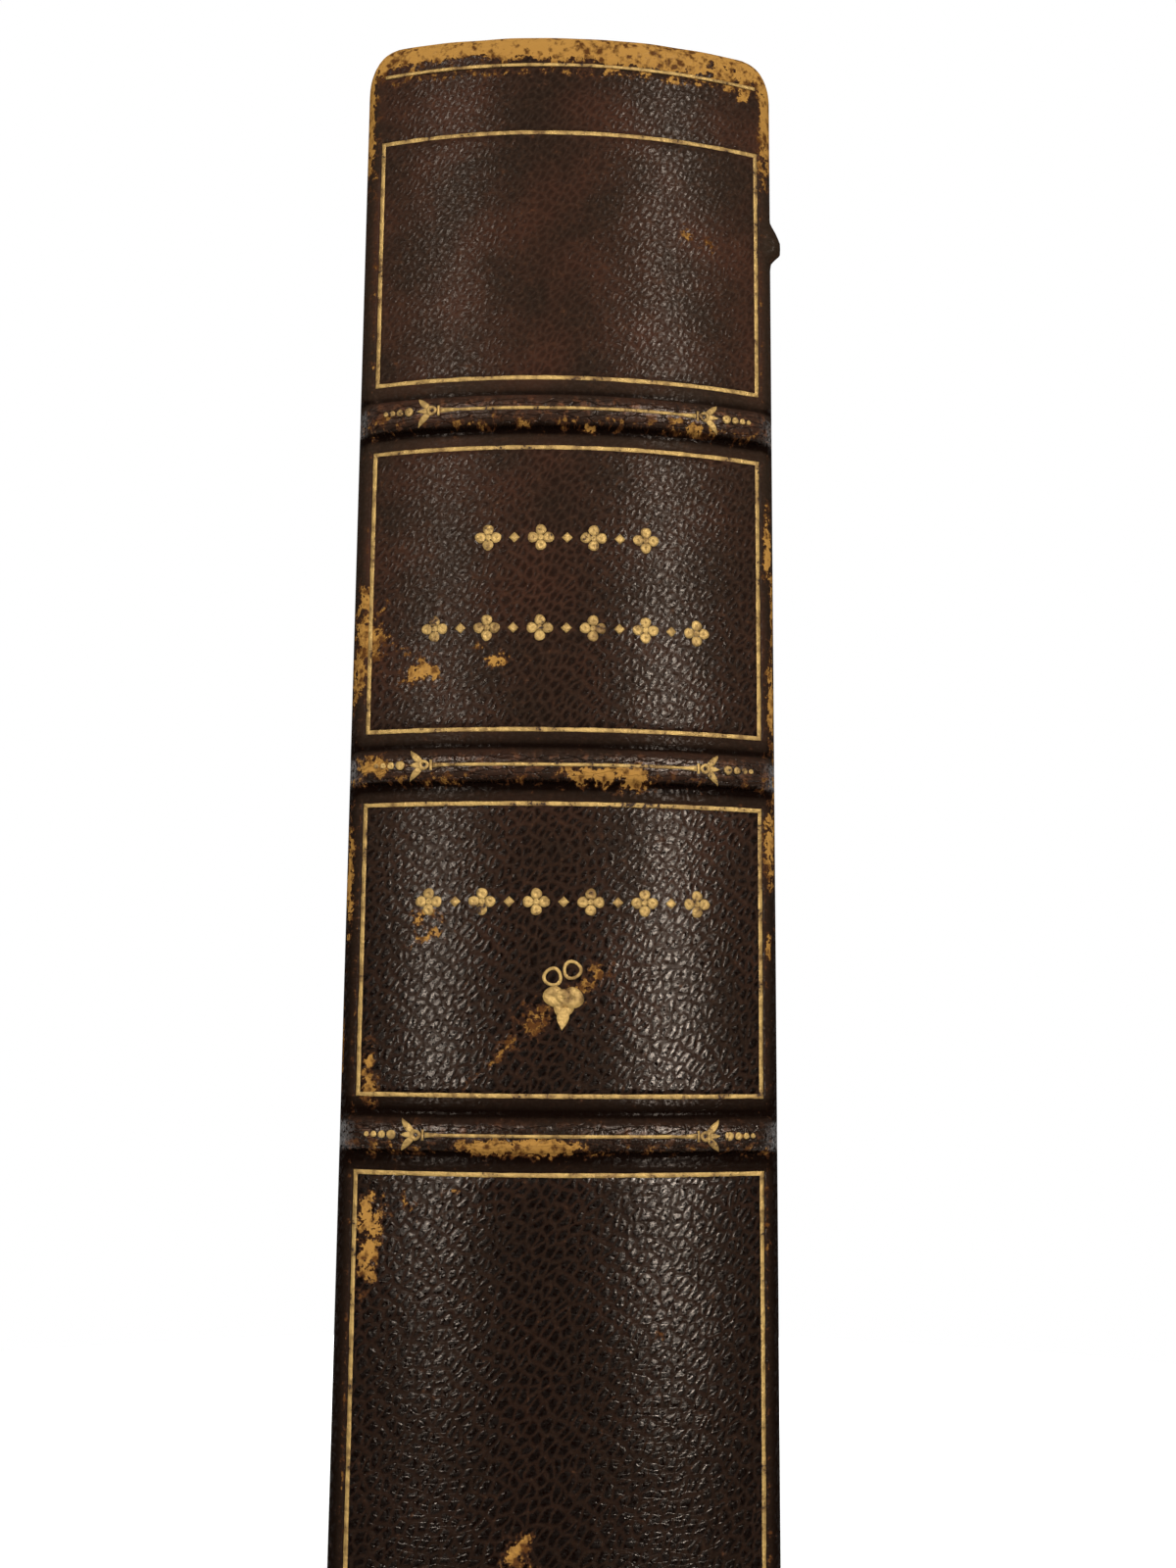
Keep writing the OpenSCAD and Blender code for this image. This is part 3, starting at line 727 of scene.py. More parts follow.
def paper(name):
    """Aged paper: fibres, a slow browning and small rust-coloured spots."""
    c = settings("book_colours")
    f = Finish(name)
    place = f.object_place()
    fibre = f.noise(place, 1900, 4, 0.6)
    cloud = f.noise(place, 28, 3, 0.6)
    spots = 1 - f.cells(place, "F1", scale=95, dimensions="3D").ease(0.0, 0.16)
    brown = ((cloud - 0.42) * 1.7).clamp() * 0.4 + spots * (cloud - 0.3).clamp() * 1.4
    f.look(f.mix((brown + 0.12 * (fibre - 0.5)).clamp(), c.paper, c.foxing), 0.82 + 0.14 * fibre, 0.2)
    f.bump(fibre, 0.04 * MM, 0.6)
    return f.material


def leaf_edges():
    """Cut edges of the leaves: thin stripes across the thickness, and a slow browning."""
    c = settings("book_colours")
    f = Finish("leaf_edges")
    place = f.object_place()
    stretched = f.turned(place, (1, 14, 14))
    stripe = f.noise(stretched, 5200, 2, 0.7)
    section = f.noise(stretched, 520, 1, 0.4)
    cloud = f.noise(place, 45, 3, 0.6)
    shade = (0.75 * (stripe - 0.36) + 0.5 * (section - 0.4) + 0.6 * (cloud - 0.4)).clamp()
    f.look(f.mix(shade, c.paper, c.foxing), 0.88, 0.15)
    f.bump(stripe * 0.8 + section, 0.12 * MM, 0.9)
    return f.material


def silk():
    """Endband thread in two colours by turns, a little soiled."""
    c = settings("book_colours")
    f = Finish("endband_thread")
    fibre = f.noise(f.object_place(), 4200, 3, 0.6)
    thread = f.mix(f.field("turn").ease(0.45, 0.55), c.silk, c.silk_red)
    f.look(f.mix(0.45 * fibre, thread, c.silk_soil), 0.5 + 0.25 * fibre, 0.35)
    f.bump(fibre, 0.05 * MM, 0.7)
    return f.material


def woven(name, tint, shadow, thread=0.45 * MM):
    """Open cloth: warp and weft as two crossed waves under a noise of fibres."""
    f = Finish(name)
    place = f.object_place()
    warp, weft = (f.node("ShaderNodeTexWave", {"bands_direction": way},
                         {"Vector": place, "Scale": 0.32 / thread, "Distortion": 0.6}) for way in "ZX")
    fibre = f.noise(place, 2500, 3)
    raised = (warp * 0.5 + weft * 0.5) * (0.6 + 0.8 * fibre)
    f.look(f.mix(raised.clamp(), shadow, tint), 0.9, 0.15)
    f.bump(raised, 0.12 * MM, 0.8)
    return f.material


def board_stuff(name, tint, fleck):
    """Rope-fibre board or brown paper: a felt of fibres with darker flecks."""
    f = Finish(name)
    place = f.object_place()
    fibre = f.noise(f.warped(place, 900, 0.5 * MM), 1500, 4, 0.65)
    flecks = f.noise(place, 700, 2).ease(0.6, 0.72)
    f.look(f.mix((0.5 * flecks + 0.5 * (fibre - 0.4)).clamp(), tint, fleck), 0.86 + 0.1 * fibre, 0.2)
    f.bump(fibre, 0.1 * MM, 0.8)
    return f.material


def dress(piece, material):
    """Gives a piece its material."""
    piece.data.materials.clear()
    piece.data.materials.append(material)


TAN_PATCHES = [
    # s, z, half length, half width (mm), turn (degrees), strength
    (11.8, 198.2, 0.5, 0.7, 0, 0.55), (14.0, 197.6, 0.5, 0.5, 0, 0.6), (14.6, 196.4, 0.4, 0.3, 0, 0.4),
    (-9.6, 177.5, 1.2, 0.3, 0, 0.2), (-4.2, 177.6, 0.9, 0.35, 0, 0.25), (1.9, 177.2, 1.1, 0.35, 0, 0.3),
    (4.6, 177.9, 0.8, 0.35, 0, 0.2), (10.7, 178.2, 1.6, 0.35, 0, 0.3),
    (-20.0, 160.4, 0.8, 1.4, 0, 0.5), (-19.6, 156.8, 1.0, 1.9, 15, 0.8), (-20.3, 153.8, 0.6, 1.6, 0, 0.7),
    (-14.0, 153.3, 1.2, 0.65, 20, 0.85), (-12.6, 152.9, 0.5, 0.7, 0, 0.6), (-8.4, 155.6, 0.4, 0.8, -25, 0.35),
    (-6.6, 154.2, 0.8, 0.45, 10, 0.7), (-17.6, 156.9, 2.6, 0.25, -32, 0.4),
    (-15.6, 155.2, 2.2, 0.2, -38, 0.35), (-18.4, 159.0, 1.6, 0.22, 60, 0.45),
    (-18.0, 144.0, 1.7, 0.7, 0, 0.7), (3.2, 143.1, 2.3, 0.6, 0, 0.75), (6.6, 142.9, 1.3, 0.75, 0, 0.75),
    (-13.4, 130.0, 1.3, 0.6, 40, 0.45), (-12.6, 128.0, 1.3, 0.5, 20, 0.5), (-11.6, 129.2, 0.4, 0.8, 0, 0.35),
    (-18.3, 116.8, 0.45, 1.2, 0, 0.6), (-18.1, 113.9, 0.6, 1.1, 0, 0.75), (-18.6, 114.9, 0.3, 2.0, 0, 0.5),
    (-5.2, 117.6, 2.6, 0.6, 44, 0.25), (-2.4, 120.3, 1.9, 1.2, 44, 0.4), (1.6, 123.0, 1.7, 0.8, 44, 0.45),
    (3.3, 124.7, 1.0, 0.75, 44, 0.5), (-8.3, 114.9, 1.6, 0.35, 44, 0.1),
    (-6.0, 108.75, 2.0, 0.5, 0, 0.9), (-2.0, 108.75, 2.5, 0.55, 0, 0.9), (1.4, 108.9, 0.8, 0.4, 0, 0.65),
    (-18.1, 102.4, 0.6, 1.7, -14, 0.75), (-17.6, 99.5, 0.6, 2.2, -14, 0.8), (-17.4, 97.2, 0.4, 1.0, 0, 0.6),
    (-14.2, 103.6, 0.3, 1.3, 30, 0.5), (-10.2, 104.7, 0.8, 0.22, 0, 0.35),
    (-3.7, 73.9, 1.2, 0.5, 50, 0.75), (-2.9, 72.6, 0.6, 0.7, 0, 0.55), (9.0, 92.0, 0.4, 0.6, 20, 0.35),
    (20.6, 166.6, 0.45, 2.4, 0, 0.75), (20.9, 151.4, 0.4, 3.2, 0, 0.75), (20.6, 137.2, 0.5, 2.2, 0, 0.85),
    (21.2, 160.0, 0.35, 5.5, 0, 0.45), (20.2, 127.5, 0.3, 1.2, 0, 0.5), (21.3, 141.0, 0.3, 8.0, 0, 0.35),
    (-21.2, 133.5, 0.5, 3.6, 0, 0.7), (-21.3, 153.0, 0.5, 2.6, 0, 0.6), (-21.6, 118.0, 0.3, 4.0, 0, 0.3),
    (-17.2, 178.6, 0.8, 0.4, 0, 0.3), (17.0, 109.8, 0.9, 0.3, 0, 0.3), (12.4, 177.7, 1.6, 0.4, 8, 0.5),
    (-10.5, 60.0, 0.6, 0.9, 30, 0.5), (12.5, 47.5, 0.8, 0.4, 0, 0.45), (-6.0, 38.9, 2.4, 0.5, 0, 0.75),
    (4.5, 38.9, 1.6, 0.5, 0, 0.6), (-19.8, 24.0, 0.6, 2.0, 0, 0.6), (8.0, 20.0, 0.5, 0.5, 0, 0.4),
]
CAP_DRIPS = [
    # s and lowest z (mm) of the tan that runs down over the end line
    (3.9, 214.6), (10.2, 214.1), (12.4, 214.7), (16.4, 214.4), (17.9, 213.4), (-16.2, 214.8), (7.0, 214.9),
]
CAP_STREAKS = [
    # dark streaks on the cap, as the patches above
    (-12.5, 216.1, 5.6, 0.32, 0, 1), (-2.0, 216.0, 4.0, 0.25, 0, 0.7), (14.6, 217.1, 1.0, 0.6, 0, 1),
    (16.6, 217.0, 0.8, 0.4, 0, 1), (-18.6, 215.9, 0.7, 0.8, 0, 0.9), (9.5, 216.1, 1.6, 0.3, 0, 0.5),
]
COVER_SCUFFS = [
    # depth and height (mm), then as the patches above
    (-30, 60, 3, 0.5, 35, 0.45), (22, 150, 5, 0.35, -20, 0.4), (40, 30, 1.2, 0.9, 0, 0.5),
    (-12, 190, 2.2, 0.5, 60, 0.45), (55, 120, 0.8, 2.6, 10, 0.4), (5, 95, 0.7, 0.7, 0, 0.4),
    (-48, 140, 0.6, 3.4, 0, 0.35), (60, 200, 1.5, 0.8, 30, 0.55), (10, 12, 2.4, 0.6, 12, 0.5),
]


def patch_field(s, z, patches):
    """The strongest of many ellipses at each point: its strength times one less the distance, -1 far away."""
    field = np.full(np.broadcast(s, z).shape, -1.0)
    for s0, z0, half_s, half_z, turn, strength in patches:
        u, v = s / MM - s0, z / MM - z0
        c, n = math.cos(math.radians(turn)), math.sin(math.radians(turn))
        away = np.sqrt(((u * c + v * n) / half_s) ** 2 + ((v * c - u * n) / half_z) ** 2)
        field = np.maximum(field, strength - 0.62 * away)
    return field


def cap_worn(s, z):
    """Dye lost along both caps, with drips down from the head and a few streaks that kept their dye."""
    across, up, top = s / MM, z / MM, book().height / MM
    edge = top - 3.3 + 0.25 * np.sin(across * 1.1) + 0.35 * np.exp(-((across + 9) / 9) ** 2)
    worn = np.maximum(*(np.clip((end - edge) / 0.9, -1, 1.2) for end in (up, top - up + 0.35)))
    for s0, low in CAP_DRIPS:
        drip = np.clip(0.75 - np.abs(across - s0) / 0.7, -1, 1) * (up > low) * np.clip((up - low) / 0.6, 0, 1)
        worn = np.maximum(worn, drip - (up <= low))
    return worn


def joint_worn(s, z):
    """Dye lost at the spine's corners near head and tail, over a longer stretch on the left."""
    right, up = s > 0, z / MM
    corner = 1.3 * (np.abs(s) / MM - np.where(right, 20.15, 20.75)) / 1.1
    near_head = 1.2 * np.clip((up - np.where(right, 207.5, 204.0)) / 6, -1, 1) + np.where(right, 0.1, -0.35)
    near_tail = np.clip((9.0 - up) / 6, -1, 1)
    return np.maximum(np.minimum(corner + 0.35, near_head), np.minimum(corner + 0.1, near_tail))


def edge_worn(s, z):
    """Faint wear under the crest of each band and beside the upright gilt lines."""
    across, up = s / MM, z / MM
    worn = -0.45 + 0.35 * ripple(across / 0.8, up / 7, 2) - 1.5 * np.abs(np.abs(across) - 19.9)
    for i, centre in enumerate(book().bands):
        ridge = np.abs(up - centre / MM + 1.15)
        worn = np.maximum(worn, -0.30 - 0.5 * ridge + 0.22 * ripple(across / 1.9, 0, i))
    return worn


def spine_wear(s, z):
    """Fields of the spine's hide, which the class Leather explains, at arc length s and height z."""
    bands, top = [centre / MM for centre in book().bands], book().height / MM
    across, up, side = s / MM, z / MM, np.abs(s) / MM
    worn = np.maximum.reduce([patch_field(s, z, TAN_PATCHES), cap_worn(s, z), joint_worn(s, z),
                              edge_worn(s, z)])
    worn = worn - 1.3 * np.clip(patch_field(s, z, CAP_STREAKS) + 0.1, 0, 1)
    pressed, soot = ease(side, 19.0, 19.9), 0.55 * ease(side, 19.7, 20.6)
    strips, rub = np.zeros_like(worn), np.full_like(worn, 0.12)
    for centre in bands:
        away = np.abs(up - centre)
        beside = ease(away, 1.4, 2.2) * (1 - ease(away, 3.1, 3.5))
        pressed = np.maximum(pressed, 0.98 * (1 - ease(away, 3.2, 3.9)))
        soot = np.maximum(soot, 0.3 * beside)
        strips = strips + beside
        rub = np.maximum(rub, 0.9 * (1 - ease(np.abs(up - centre + 0.2), 0.9, 1.7)))
    # The tone field: darker towards the tail, with a slow uneven wave.
    tone = 0.93 - 0.4 * ease(top - up, 0.1 * top, 0.62 * top) + 0.05 * ripple(across / 9, up / 14)
    # Painted shade on the turn at the spine's sides; darker strips beside the bands.
    tone = tone - 0.28 * ease(side, 19.8, 20.8) - 0.32 * strips * (1.3 - tone)
    for centre in bands:
        # Painted shade in the creases over and under each band, deeper under it.
        over, under = up - centre - 1.95, up - centre + 1.8 + 0.1 * ripple(across / 2, 0)
        tone = tone - 0.45 * np.exp(-(over / 0.3) ** 2) - 0.85 * np.exp(-(under / 0.42) ** 2)
    return {"worn": np.clip(worn, -1, 1), "pressed": np.clip(pressed, 0, 1), "soot": np.clip(soot, 0, 1),
            "tone": np.clip(tone, 0, 1), "rub": rub, "scuffed": np.zeros_like(tone)}


def thin_out(values, gap):
    """Sorted values with those dropped that lie closer than a gap to the one before."""
    values = np.sort(np.asarray(values))
    keep = [values[0]]
    for value in values[1:]:
        if value - keep[-1] >= gap:
            keep.append(value)
    return np.array(keep)


def wall_rows(low, high):
    """Heights of the spine's rows: even in the panels, close at the bands' flanks and at the gilt lines."""
    b, spine, gilt = book(), settings("book_spine"), settings("book_gilt")
    lines = [z for panel in frame_panels() for z in panel] + end_lines()
    fixed = [z + k * gilt.line / 2 for z in lines for k in (-1.5, -0.8, 0, 0.8, 1.5)]
    steps = (0, 0.2, 0.4, 0.58, 0.72, 0.83, 0.91, 0.965, 1.0, 1.05, 1.15, 1.27, 1.4, 1.6)
    fixed += [z + side * k * spine.band_width / 2 for z in b.bands for k in steps for side in (-1, 1)]
    fixed = thin_out(np.unique(np.round(fixed, 6)), 0.05 * MM)
    even = np.arange(low, high, 0.62 * MM)
    clear = np.abs(even[:, None] - fixed[None, :]).min(1) > 0.35 * MM
    rows = np.concatenate([[low, high], fixed, even[clear]])
    rows = rows[(rows >= low) & (rows <= high)]
    return thin_out(np.unique(np.round(rows, 6)), 0.04 * MM)


def spine_columns():
    """Arc lengths of the spine's columns: even over the round, close at the upright lines and the corners."""
    b, gilt = book(), settings("book_gilt")
    side, end = line_side(), b.joint_s - 0.75 * MM
    half = np.concatenate([
        np.linspace(0, side - 0.5 * MM, 31),
        side + np.array([-1.5, -0.8, 0, 0.8, 1.5]) * gilt.line / 2,
        np.linspace(side + 0.55 * MM, b.corner_s, 12),
        np.linspace(b.corner_s, end, 5)[1:]])
    return np.concatenate([-half[:0:-1], half])


def cap_section(end, sign, roll, reach, lip):
    """Depth and height of one cap, row by row inwards: the roll, the flat with its lip, and the fold back.

    Each is an arc of a circle; roll and lip are radii, and sign is 1 at the head and -1 at the tail."""
    outer_arc, lip_arc, fold_arc = (np.linspace(start, stop, count)[:, None] for start, stop, count in
                                    ((math.pi / 16, math.pi / 2, 8), (0, math.pi, 8), (math.pi / 2, 0, 5)))
    flat, rest = np.maximum(reach - lip, roll), np.maximum(roll - 2 * lip, 0)
    depth = [roll * (1 - np.cos(outer_arc)), flat + lip * np.sin(lip_arc),
             2 * lip + rest * (1 - np.cos(fold_arc))]
    fall = [roll * (1 - np.sin(outer_arc)), lip * (1 - np.cos(lip_arc)),
            2 * lip + rest * (1 - np.sin(fold_arc))]
    return np.concatenate(depth), end - sign * np.concatenate(fall)


def spine_section(s):
    """The closed section of the spine's leather by column: outer wall, head cap, inner wall, tail cap.

    Returns depth behind the outer face, height, the height used on the hide map and how far the row belongs
    to the outer wall, each as rows by columns or as one number a row."""
    b, spine = book(), settings("book_spine")
    narrow = (spine.cap_reach - 1.75 * MM) * ease(np.abs(s), 14 * MM, b.turn_s + 0.5 * MM)
    reach = spine.cap_reach - narrow
    roll = np.minimum(spine.cap_radius, reach - 0.25 * MM)
    lip = spine.leather * np.minimum(1, roll / (1.9 * MM))
    slow, quick = 1 + ripple(s / (5 * MM), 0, 1.0), 1 + ripple(s / (1.1 * MM), 0, 2.0)
    low = end_drop(s)
    top = b.height - low - (0.04 * slow + 0.06 * quick) * MM

    rows = wall_rows(0.0, b.height)[1:-1]
    wall = np.clip(rows[:, None], low + roll + ROW_GAP, top - roll - ROW_GAP)
    head_depth, head_z = cap_section(top, 1, roll, reach, lip)
    foot_depth, foot_z = cap_section(low, -1, roll, reach, lip)
    foot_depth, foot_z = foot_depth[::-1], foot_z[::-1]
    back = wall[::-1][::2]
    from_end = np.minimum(back, b.height - back)
    turned_in = 1 - ease(from_end, spine.turned_in - 0.2 * MM, spine.turned_in + 0.2 * MM)
    layers = spine.leather * (1 + turned_in)
    depth = np.concatenate([0 * wall, head_depth, layers, foot_depth])
    z = np.concatenate([wall, head_z, back, foot_z])
    past_wall = np.concatenate([0 * wall, head_depth, 0 * back, -foot_depth])
    outer = np.repeat([1.0, 0.5, 0.0, 0.5], [len(wall), len(head_z), len(back), len(foot_z)])
    return depth, z, z + past_wall, outer


class BOOK_OT_spine_leather(bpy.types.Operator):
    """Makes the spine's leather, worked over the bands and rolled into caps"""
    bl_idname = "old_book.spine_leather"
    bl_label = "Spine Leather"

    def execute(self, context):
        b = book()
        columns = spine_columns()
        depth, z, hide_z, outer = spine_section(columns)
        s = np.broadcast_to(columns, z.shape)
        plan, normal = spine_line(s)
        from_end = np.clip(np.minimum(z, b.height - z), 0, None)
        out = relief(s, z) * np.clip(1 - depth / (2.4 * MM), 0, 1)
        inner = outer[:, None] == 0
        out = np.where(inner, 0.9 * np.maximum(out, 0), out) * ease(from_end, 0, 1.5 * MM)
        flat = plan + normal * (out - depth)[..., None]
        points = np.concatenate([flat, z[..., None]], -1).reshape(-1, 3)
        faces = [quads(*z.shape, round_rows=True), *end_faces(*z.shape)]
        piece = make_piece("spine_hide", points, faces, np.stack([s, hide_z], -1), spine_wear(s, hide_z))
        dress(piece, leather())
        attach(piece, "book_block")
        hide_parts("spine_leather")
        return {"FINISHED"}


def ragged(half, s, z):
    """Half width of a gilt line at a place: a little uneven, as worn leaf is."""
    return half * (1 + 0.16 * ripple(s / (0.45 * MM), z / (0.45 * MM)))


class GoldSheet:
    """Collects many small grids of gold on the spine into one piece."""

    def __init__(self):
        self.points, self.faces, self.count = [], [], 0

    def add(self, s, z, round_rows=False):
        """Adds a grid of gold, given as arrays of arc length and height, laid just proud of the leather."""
        self.points.append(on_spine(s, z, settings("book_gilt").lift).reshape(-1, 3))
        self.faces.append(quads(*s.shape, round_rows) + self.count)
        self.count += s.size

    def ribbon(self, s, z, out_s, out_z, wide, round_rows=False):
        """Three points across at each point of a path, towards out and away from it by a half width."""
        self.add(s[:, None] + (out_s * wide)[:, None] * THREE_ACROSS,
                 z[:, None] + (out_z * wide)[:, None] * THREE_ACROSS, round_rows)

    def strip(self, s, z, half, taper=1.0):
        """A line of gold along a path, square to it."""
        s, z = np.asarray(s, float), np.asarray(z, float)
        run_s, run_z = np.gradient(s), np.gradient(z)
        run = np.hypot(run_s, run_z)
        self.ribbon(s, z, -run_z / run, run_s / run, ragged(half, s, z) * taper)

    def leaf(self, s0, z0, size, width, turn, bend=0.0):
        """A pointed leaf from its foot: its width is a sine along its length, on a bent middle line."""
        share, side = np.linspace(0.0, 1, 13)[:, None], np.linspace(-1, 1, 5)[None, :]
        along = size * share + 0 * side
        swell = np.sin(np.pi * np.clip(share, 0.02, 0.985) ** 0.8)
        off = bend * size * share ** 2 + side * width / 2 * swell
        c, n = math.cos(math.radians(turn)), math.sin(math.radians(turn))
        self.add(s0 + along * c - off * n, z0 + along * n + off * c)

    def disc(self, s0, z0, radius, hole=0.0, turns=20):
        """A round of gold, or a ring where a hole is given: radius by angle, a little uneven."""
        angle = np.linspace(0, 2 * np.pi, turns, endpoint=False)[:, None]
        share = np.linspace(max(hole / radius, 0.02), 1, 3)[None, :]
        reach = radius * share * (1 + 0.05 * np.sin(3 * angle + s0 * 9000))
        self.add(s0 + reach * np.cos(angle), z0 + reach * np.sin(angle), round_rows=True)

    def lozenge(self, s0, z0, half):
        """A diamond: a square of side points turned on its corner."""
        a, c = np.meshgrid(np.linspace(-1, 1, 4), np.linspace(-1, 1, 4), indexing="ij")
        self.add(s0 + (a + c) * half / 2, z0 + (a - c) * half / 2)

    def piece(self, name, node):
        """Turns what was collected into a piece that stands for a CAD node."""
        piece = make_piece(name, np.concatenate(self.points), self.faces, closed=False, facing=(0, -1, 0))
        thicken(piece, settings("book_gilt").leaf)
        dress(piece, gold())
        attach(piece, "book_block")
        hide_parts(node)


def gilt_frames(sheet):
    """Two end lines and five frames, each a closed ring of three points across with mitred corners."""
    side, half = line_side(), settings("book_gilt").line / 2
    steps = np.linspace(-side, side, 90)
    for z in end_lines():
        sheet.strip(steps, np.full_like(steps, z), half * 0.9)
    for low, high in frame_panels():
        rise = np.arange(low, high, 0.9 * MM)[1:]
        s = np.concatenate([steps, np.full_like(rise, side), steps[::-1], np.full_like(rise, -side)])
        z = np.concatenate([np.full_like(steps, low), rise, np.full_like(steps, high), rise[::-1]])
        out_s = np.where(np.isclose(np.abs(s), side), np.sign(s), 0.0)
        out_z = np.where(np.isclose(z, low), -1.0, np.where(np.isclose(z, high), 1.0, 0.0))
        sheet.ribbon(s, z, out_s, out_z, ragged(half, s, z), round_rows=True)


def band_tool(sheet, z, way):
    """One end of a band's tooling: tapered stem, collar, ring, two horned leaves about a third, four beads.

    Places are distances in millimetres past the end of the band's line."""
    def place(past):
        return way * (settings("book_gilt").band_line + past * MM)

    run, outwards = np.linspace(0, 1, 9), 90 - way * 90
    sheet.strip(place(-1.2 + 2.5 * run), np.full_like(run, z), 0.24 * MM, 0.25 + 0.75 * run)
    sheet.strip(np.full(5, place(1.5)), z + np.linspace(-0.5, 0.5, 5) * MM, 0.11 * MM)
    sheet.disc(place(2.15), z, 0.5 * MM, hole=0.22 * MM)
    for turn in (-1, 1):
        sheet.leaf(place(2.2), z + turn * 0.14 * MM, 1.95 * MM, 0.62 * MM, outwards + way * turn * 34,
                   way * turn * 0.16)
    sheet.leaf(place(2.3), z, 1.3 * MM, 0.5 * MM, outwards)
    past = 4.0
    for radius in (0.42, 0.33, 0.28, 0.23):
        sheet.disc(place(past + radius), z, radius * MM, turns=14)
        past += 2 * radius + 0.16


def flower(sheet, s, z, size):
    """Four round petals about a centre."""
    for turn in range(4):
        a = turn * math.pi / 2
        sheet.disc(s + 0.29 * size * math.cos(a), z + 0.29 * size * math.sin(a), 0.2 * size, turns=14)
    sheet.disc(s, z, 0.12 * size, turns=12)


def ornament_rows(sheet):
    """Rows of flowers with lozenges between them, and the fleuron: two rings over a pointed trefoil."""
    gilt, panels = settings("book_gilt"), frame_panels()
    for panel, down, flowers in ORNAMENT_ROWS:
        z = panels[panel][1] - down * MM
        for i in range(flowers):
            flower(sheet, (i - (flowers - 1) / 2) * gilt.pitch, z, gilt.flower)
        for i in range(flowers - 1):
            sheet.lozenge((i - flowers / 2 + 1) * gilt.pitch, z, gilt.lozenge)
    panel, down = FLEURON_PLACE
    z = panels[panel][1] - down * MM
    for ring_s, ring_z in FLEURON_RINGS:
        sheet.disc(ring_s * MM, z + ring_z * MM, 0.92 * MM, hole=0.62 * MM, turns=30)
    for lobe_s, lobe_z, radius in FLEURON_LOBES:
        sheet.disc(lobe_s * MM, z + lobe_z * MM, radius * MM, turns=24)
    sheet.leaf(0.1 * MM, z - 0.9 * MM, 2.1 * MM, 1.15 * MM, -94)


class BOOK_OT_gilt(bpy.types.Operator):
    """Lays the gold: frames, lines and ends on the bands, rows of ornament and the fleuron"""
    bl_idname = "old_book.gilt"
    bl_label = "Gold Tooling"

    def execute(self, context):
        gilt = settings("book_gilt")
        frames, bands, ornaments = GoldSheet(), GoldSheet(), GoldSheet()
        gilt_frames(frames)
        steps = np.linspace(-gilt.band_line, gilt.band_line, 80)
        taper = 0.4 + 0.6 * ease(gilt.band_line - np.abs(steps), 0, 1.2 * MM)
        for z in book().bands:
            bands.strip(steps, np.full_like(steps, z), 0.8 * gilt.line / 2, taper)
            for way in (-1, 1):
                band_tool(bands, z, way)
        ornament_rows(ornaments)
        frames.piece("gold_frames", "gilt_frames")
        bands.piece("gold_on_bands", "gilt_bands")
        ornaments.piece("gold_ornaments", "gilt_ornaments")
        return {"FINISHED"}


def cover_ring(inset):
    """One U-shaped path round a cover at a distance in from its edges, in depth and height.

    It runs from the joint along the tail, round the fore corners and back along the head; beside the joint
    it is cut back by the boards' clipped corners. A negative inset gives the unfolded hide past the edge."""
    b, cover = book(), settings("book_covers")
    start = b.hinge_y - cover.seam
    near = np.array(JOINT_STEPS) * MM
    at_middle = inset >= b.height / 2
    radius = 0.0 if at_middle else max(cover.corner_round - inset, 0.15 * MM)
    fore = b.fore_y - inset
    far = np.linspace(0, 1, 30)[1:] * (fore - radius - start - near[-1]) + near[-1]
    along = start + np.concatenate([near, far])
    bend = np.linspace(0, math.pi / 2, 7)[1:-1]
    tail = inset + radius - radius * np.cos(bend)
    corner = fore - radius + radius * np.sin(bend)
    clip = np.clip(cover.back_corner - (along - b.hinge_y), 0, cover.back_corner + 0.35 * MM)
    clip = clip * ease(clip, 0, 0.6 * MM) * np.exp(-max(inset, 0) / (9 * MM))
    up = np.linspace(inset + radius, b.height - inset - radius, 44)
    y = np.concatenate([along, corner, np.full_like(up, fore), corner[::-1], along[::-1]])
    z = np.concatenate([inset + clip, tail, up, b.height - tail[::-1], (b.height - inset - clip)[::-1]])
    return y, z


def cover_rings():
    """Rings of a cover's hide from the middle of its face outwards, round the edge and in over the board.

    Each is its inset from the cover's edge, its depth behind the face, and the length of hide past it."""
    b, cover = book(), settings("book_covers")
    r, inner_r, thick = cover.edge_round, cover.inner_round, b.cover_thick
    rings = [(inset, 0.0, 0.0) for inset in (b.height / 2, *(MM * np.array(FACE_RINGS)))]
    rings += [(r - r * math.sin(a), r - r * math.cos(a), r * a) for a in np.linspace(0, math.pi / 2, 6)]
    past = rings[-1][2]
    rings += [(0.0, depth, past + depth - r) for depth in np.linspace(r, thick - inner_r, 5)[1:]]
    past = rings[-1][2]
    rings += [(inner_r * (1 - math.cos(a)), thick - inner_r * (1 - math.sin(a)), past + inner_r * a)
              for a in np.linspace(0, math.pi / 2, 5)[1:]]
    past = rings[-1][2]
    rings += [(inset, thick, past + inset) for inset in cover.turn_in * np.array(TURN_IN_RINGS)]
    rings.append((cover.turn_in + 0.15 * MM, thick - 0.25 * MM, past + cover.turn_in))
    return rings


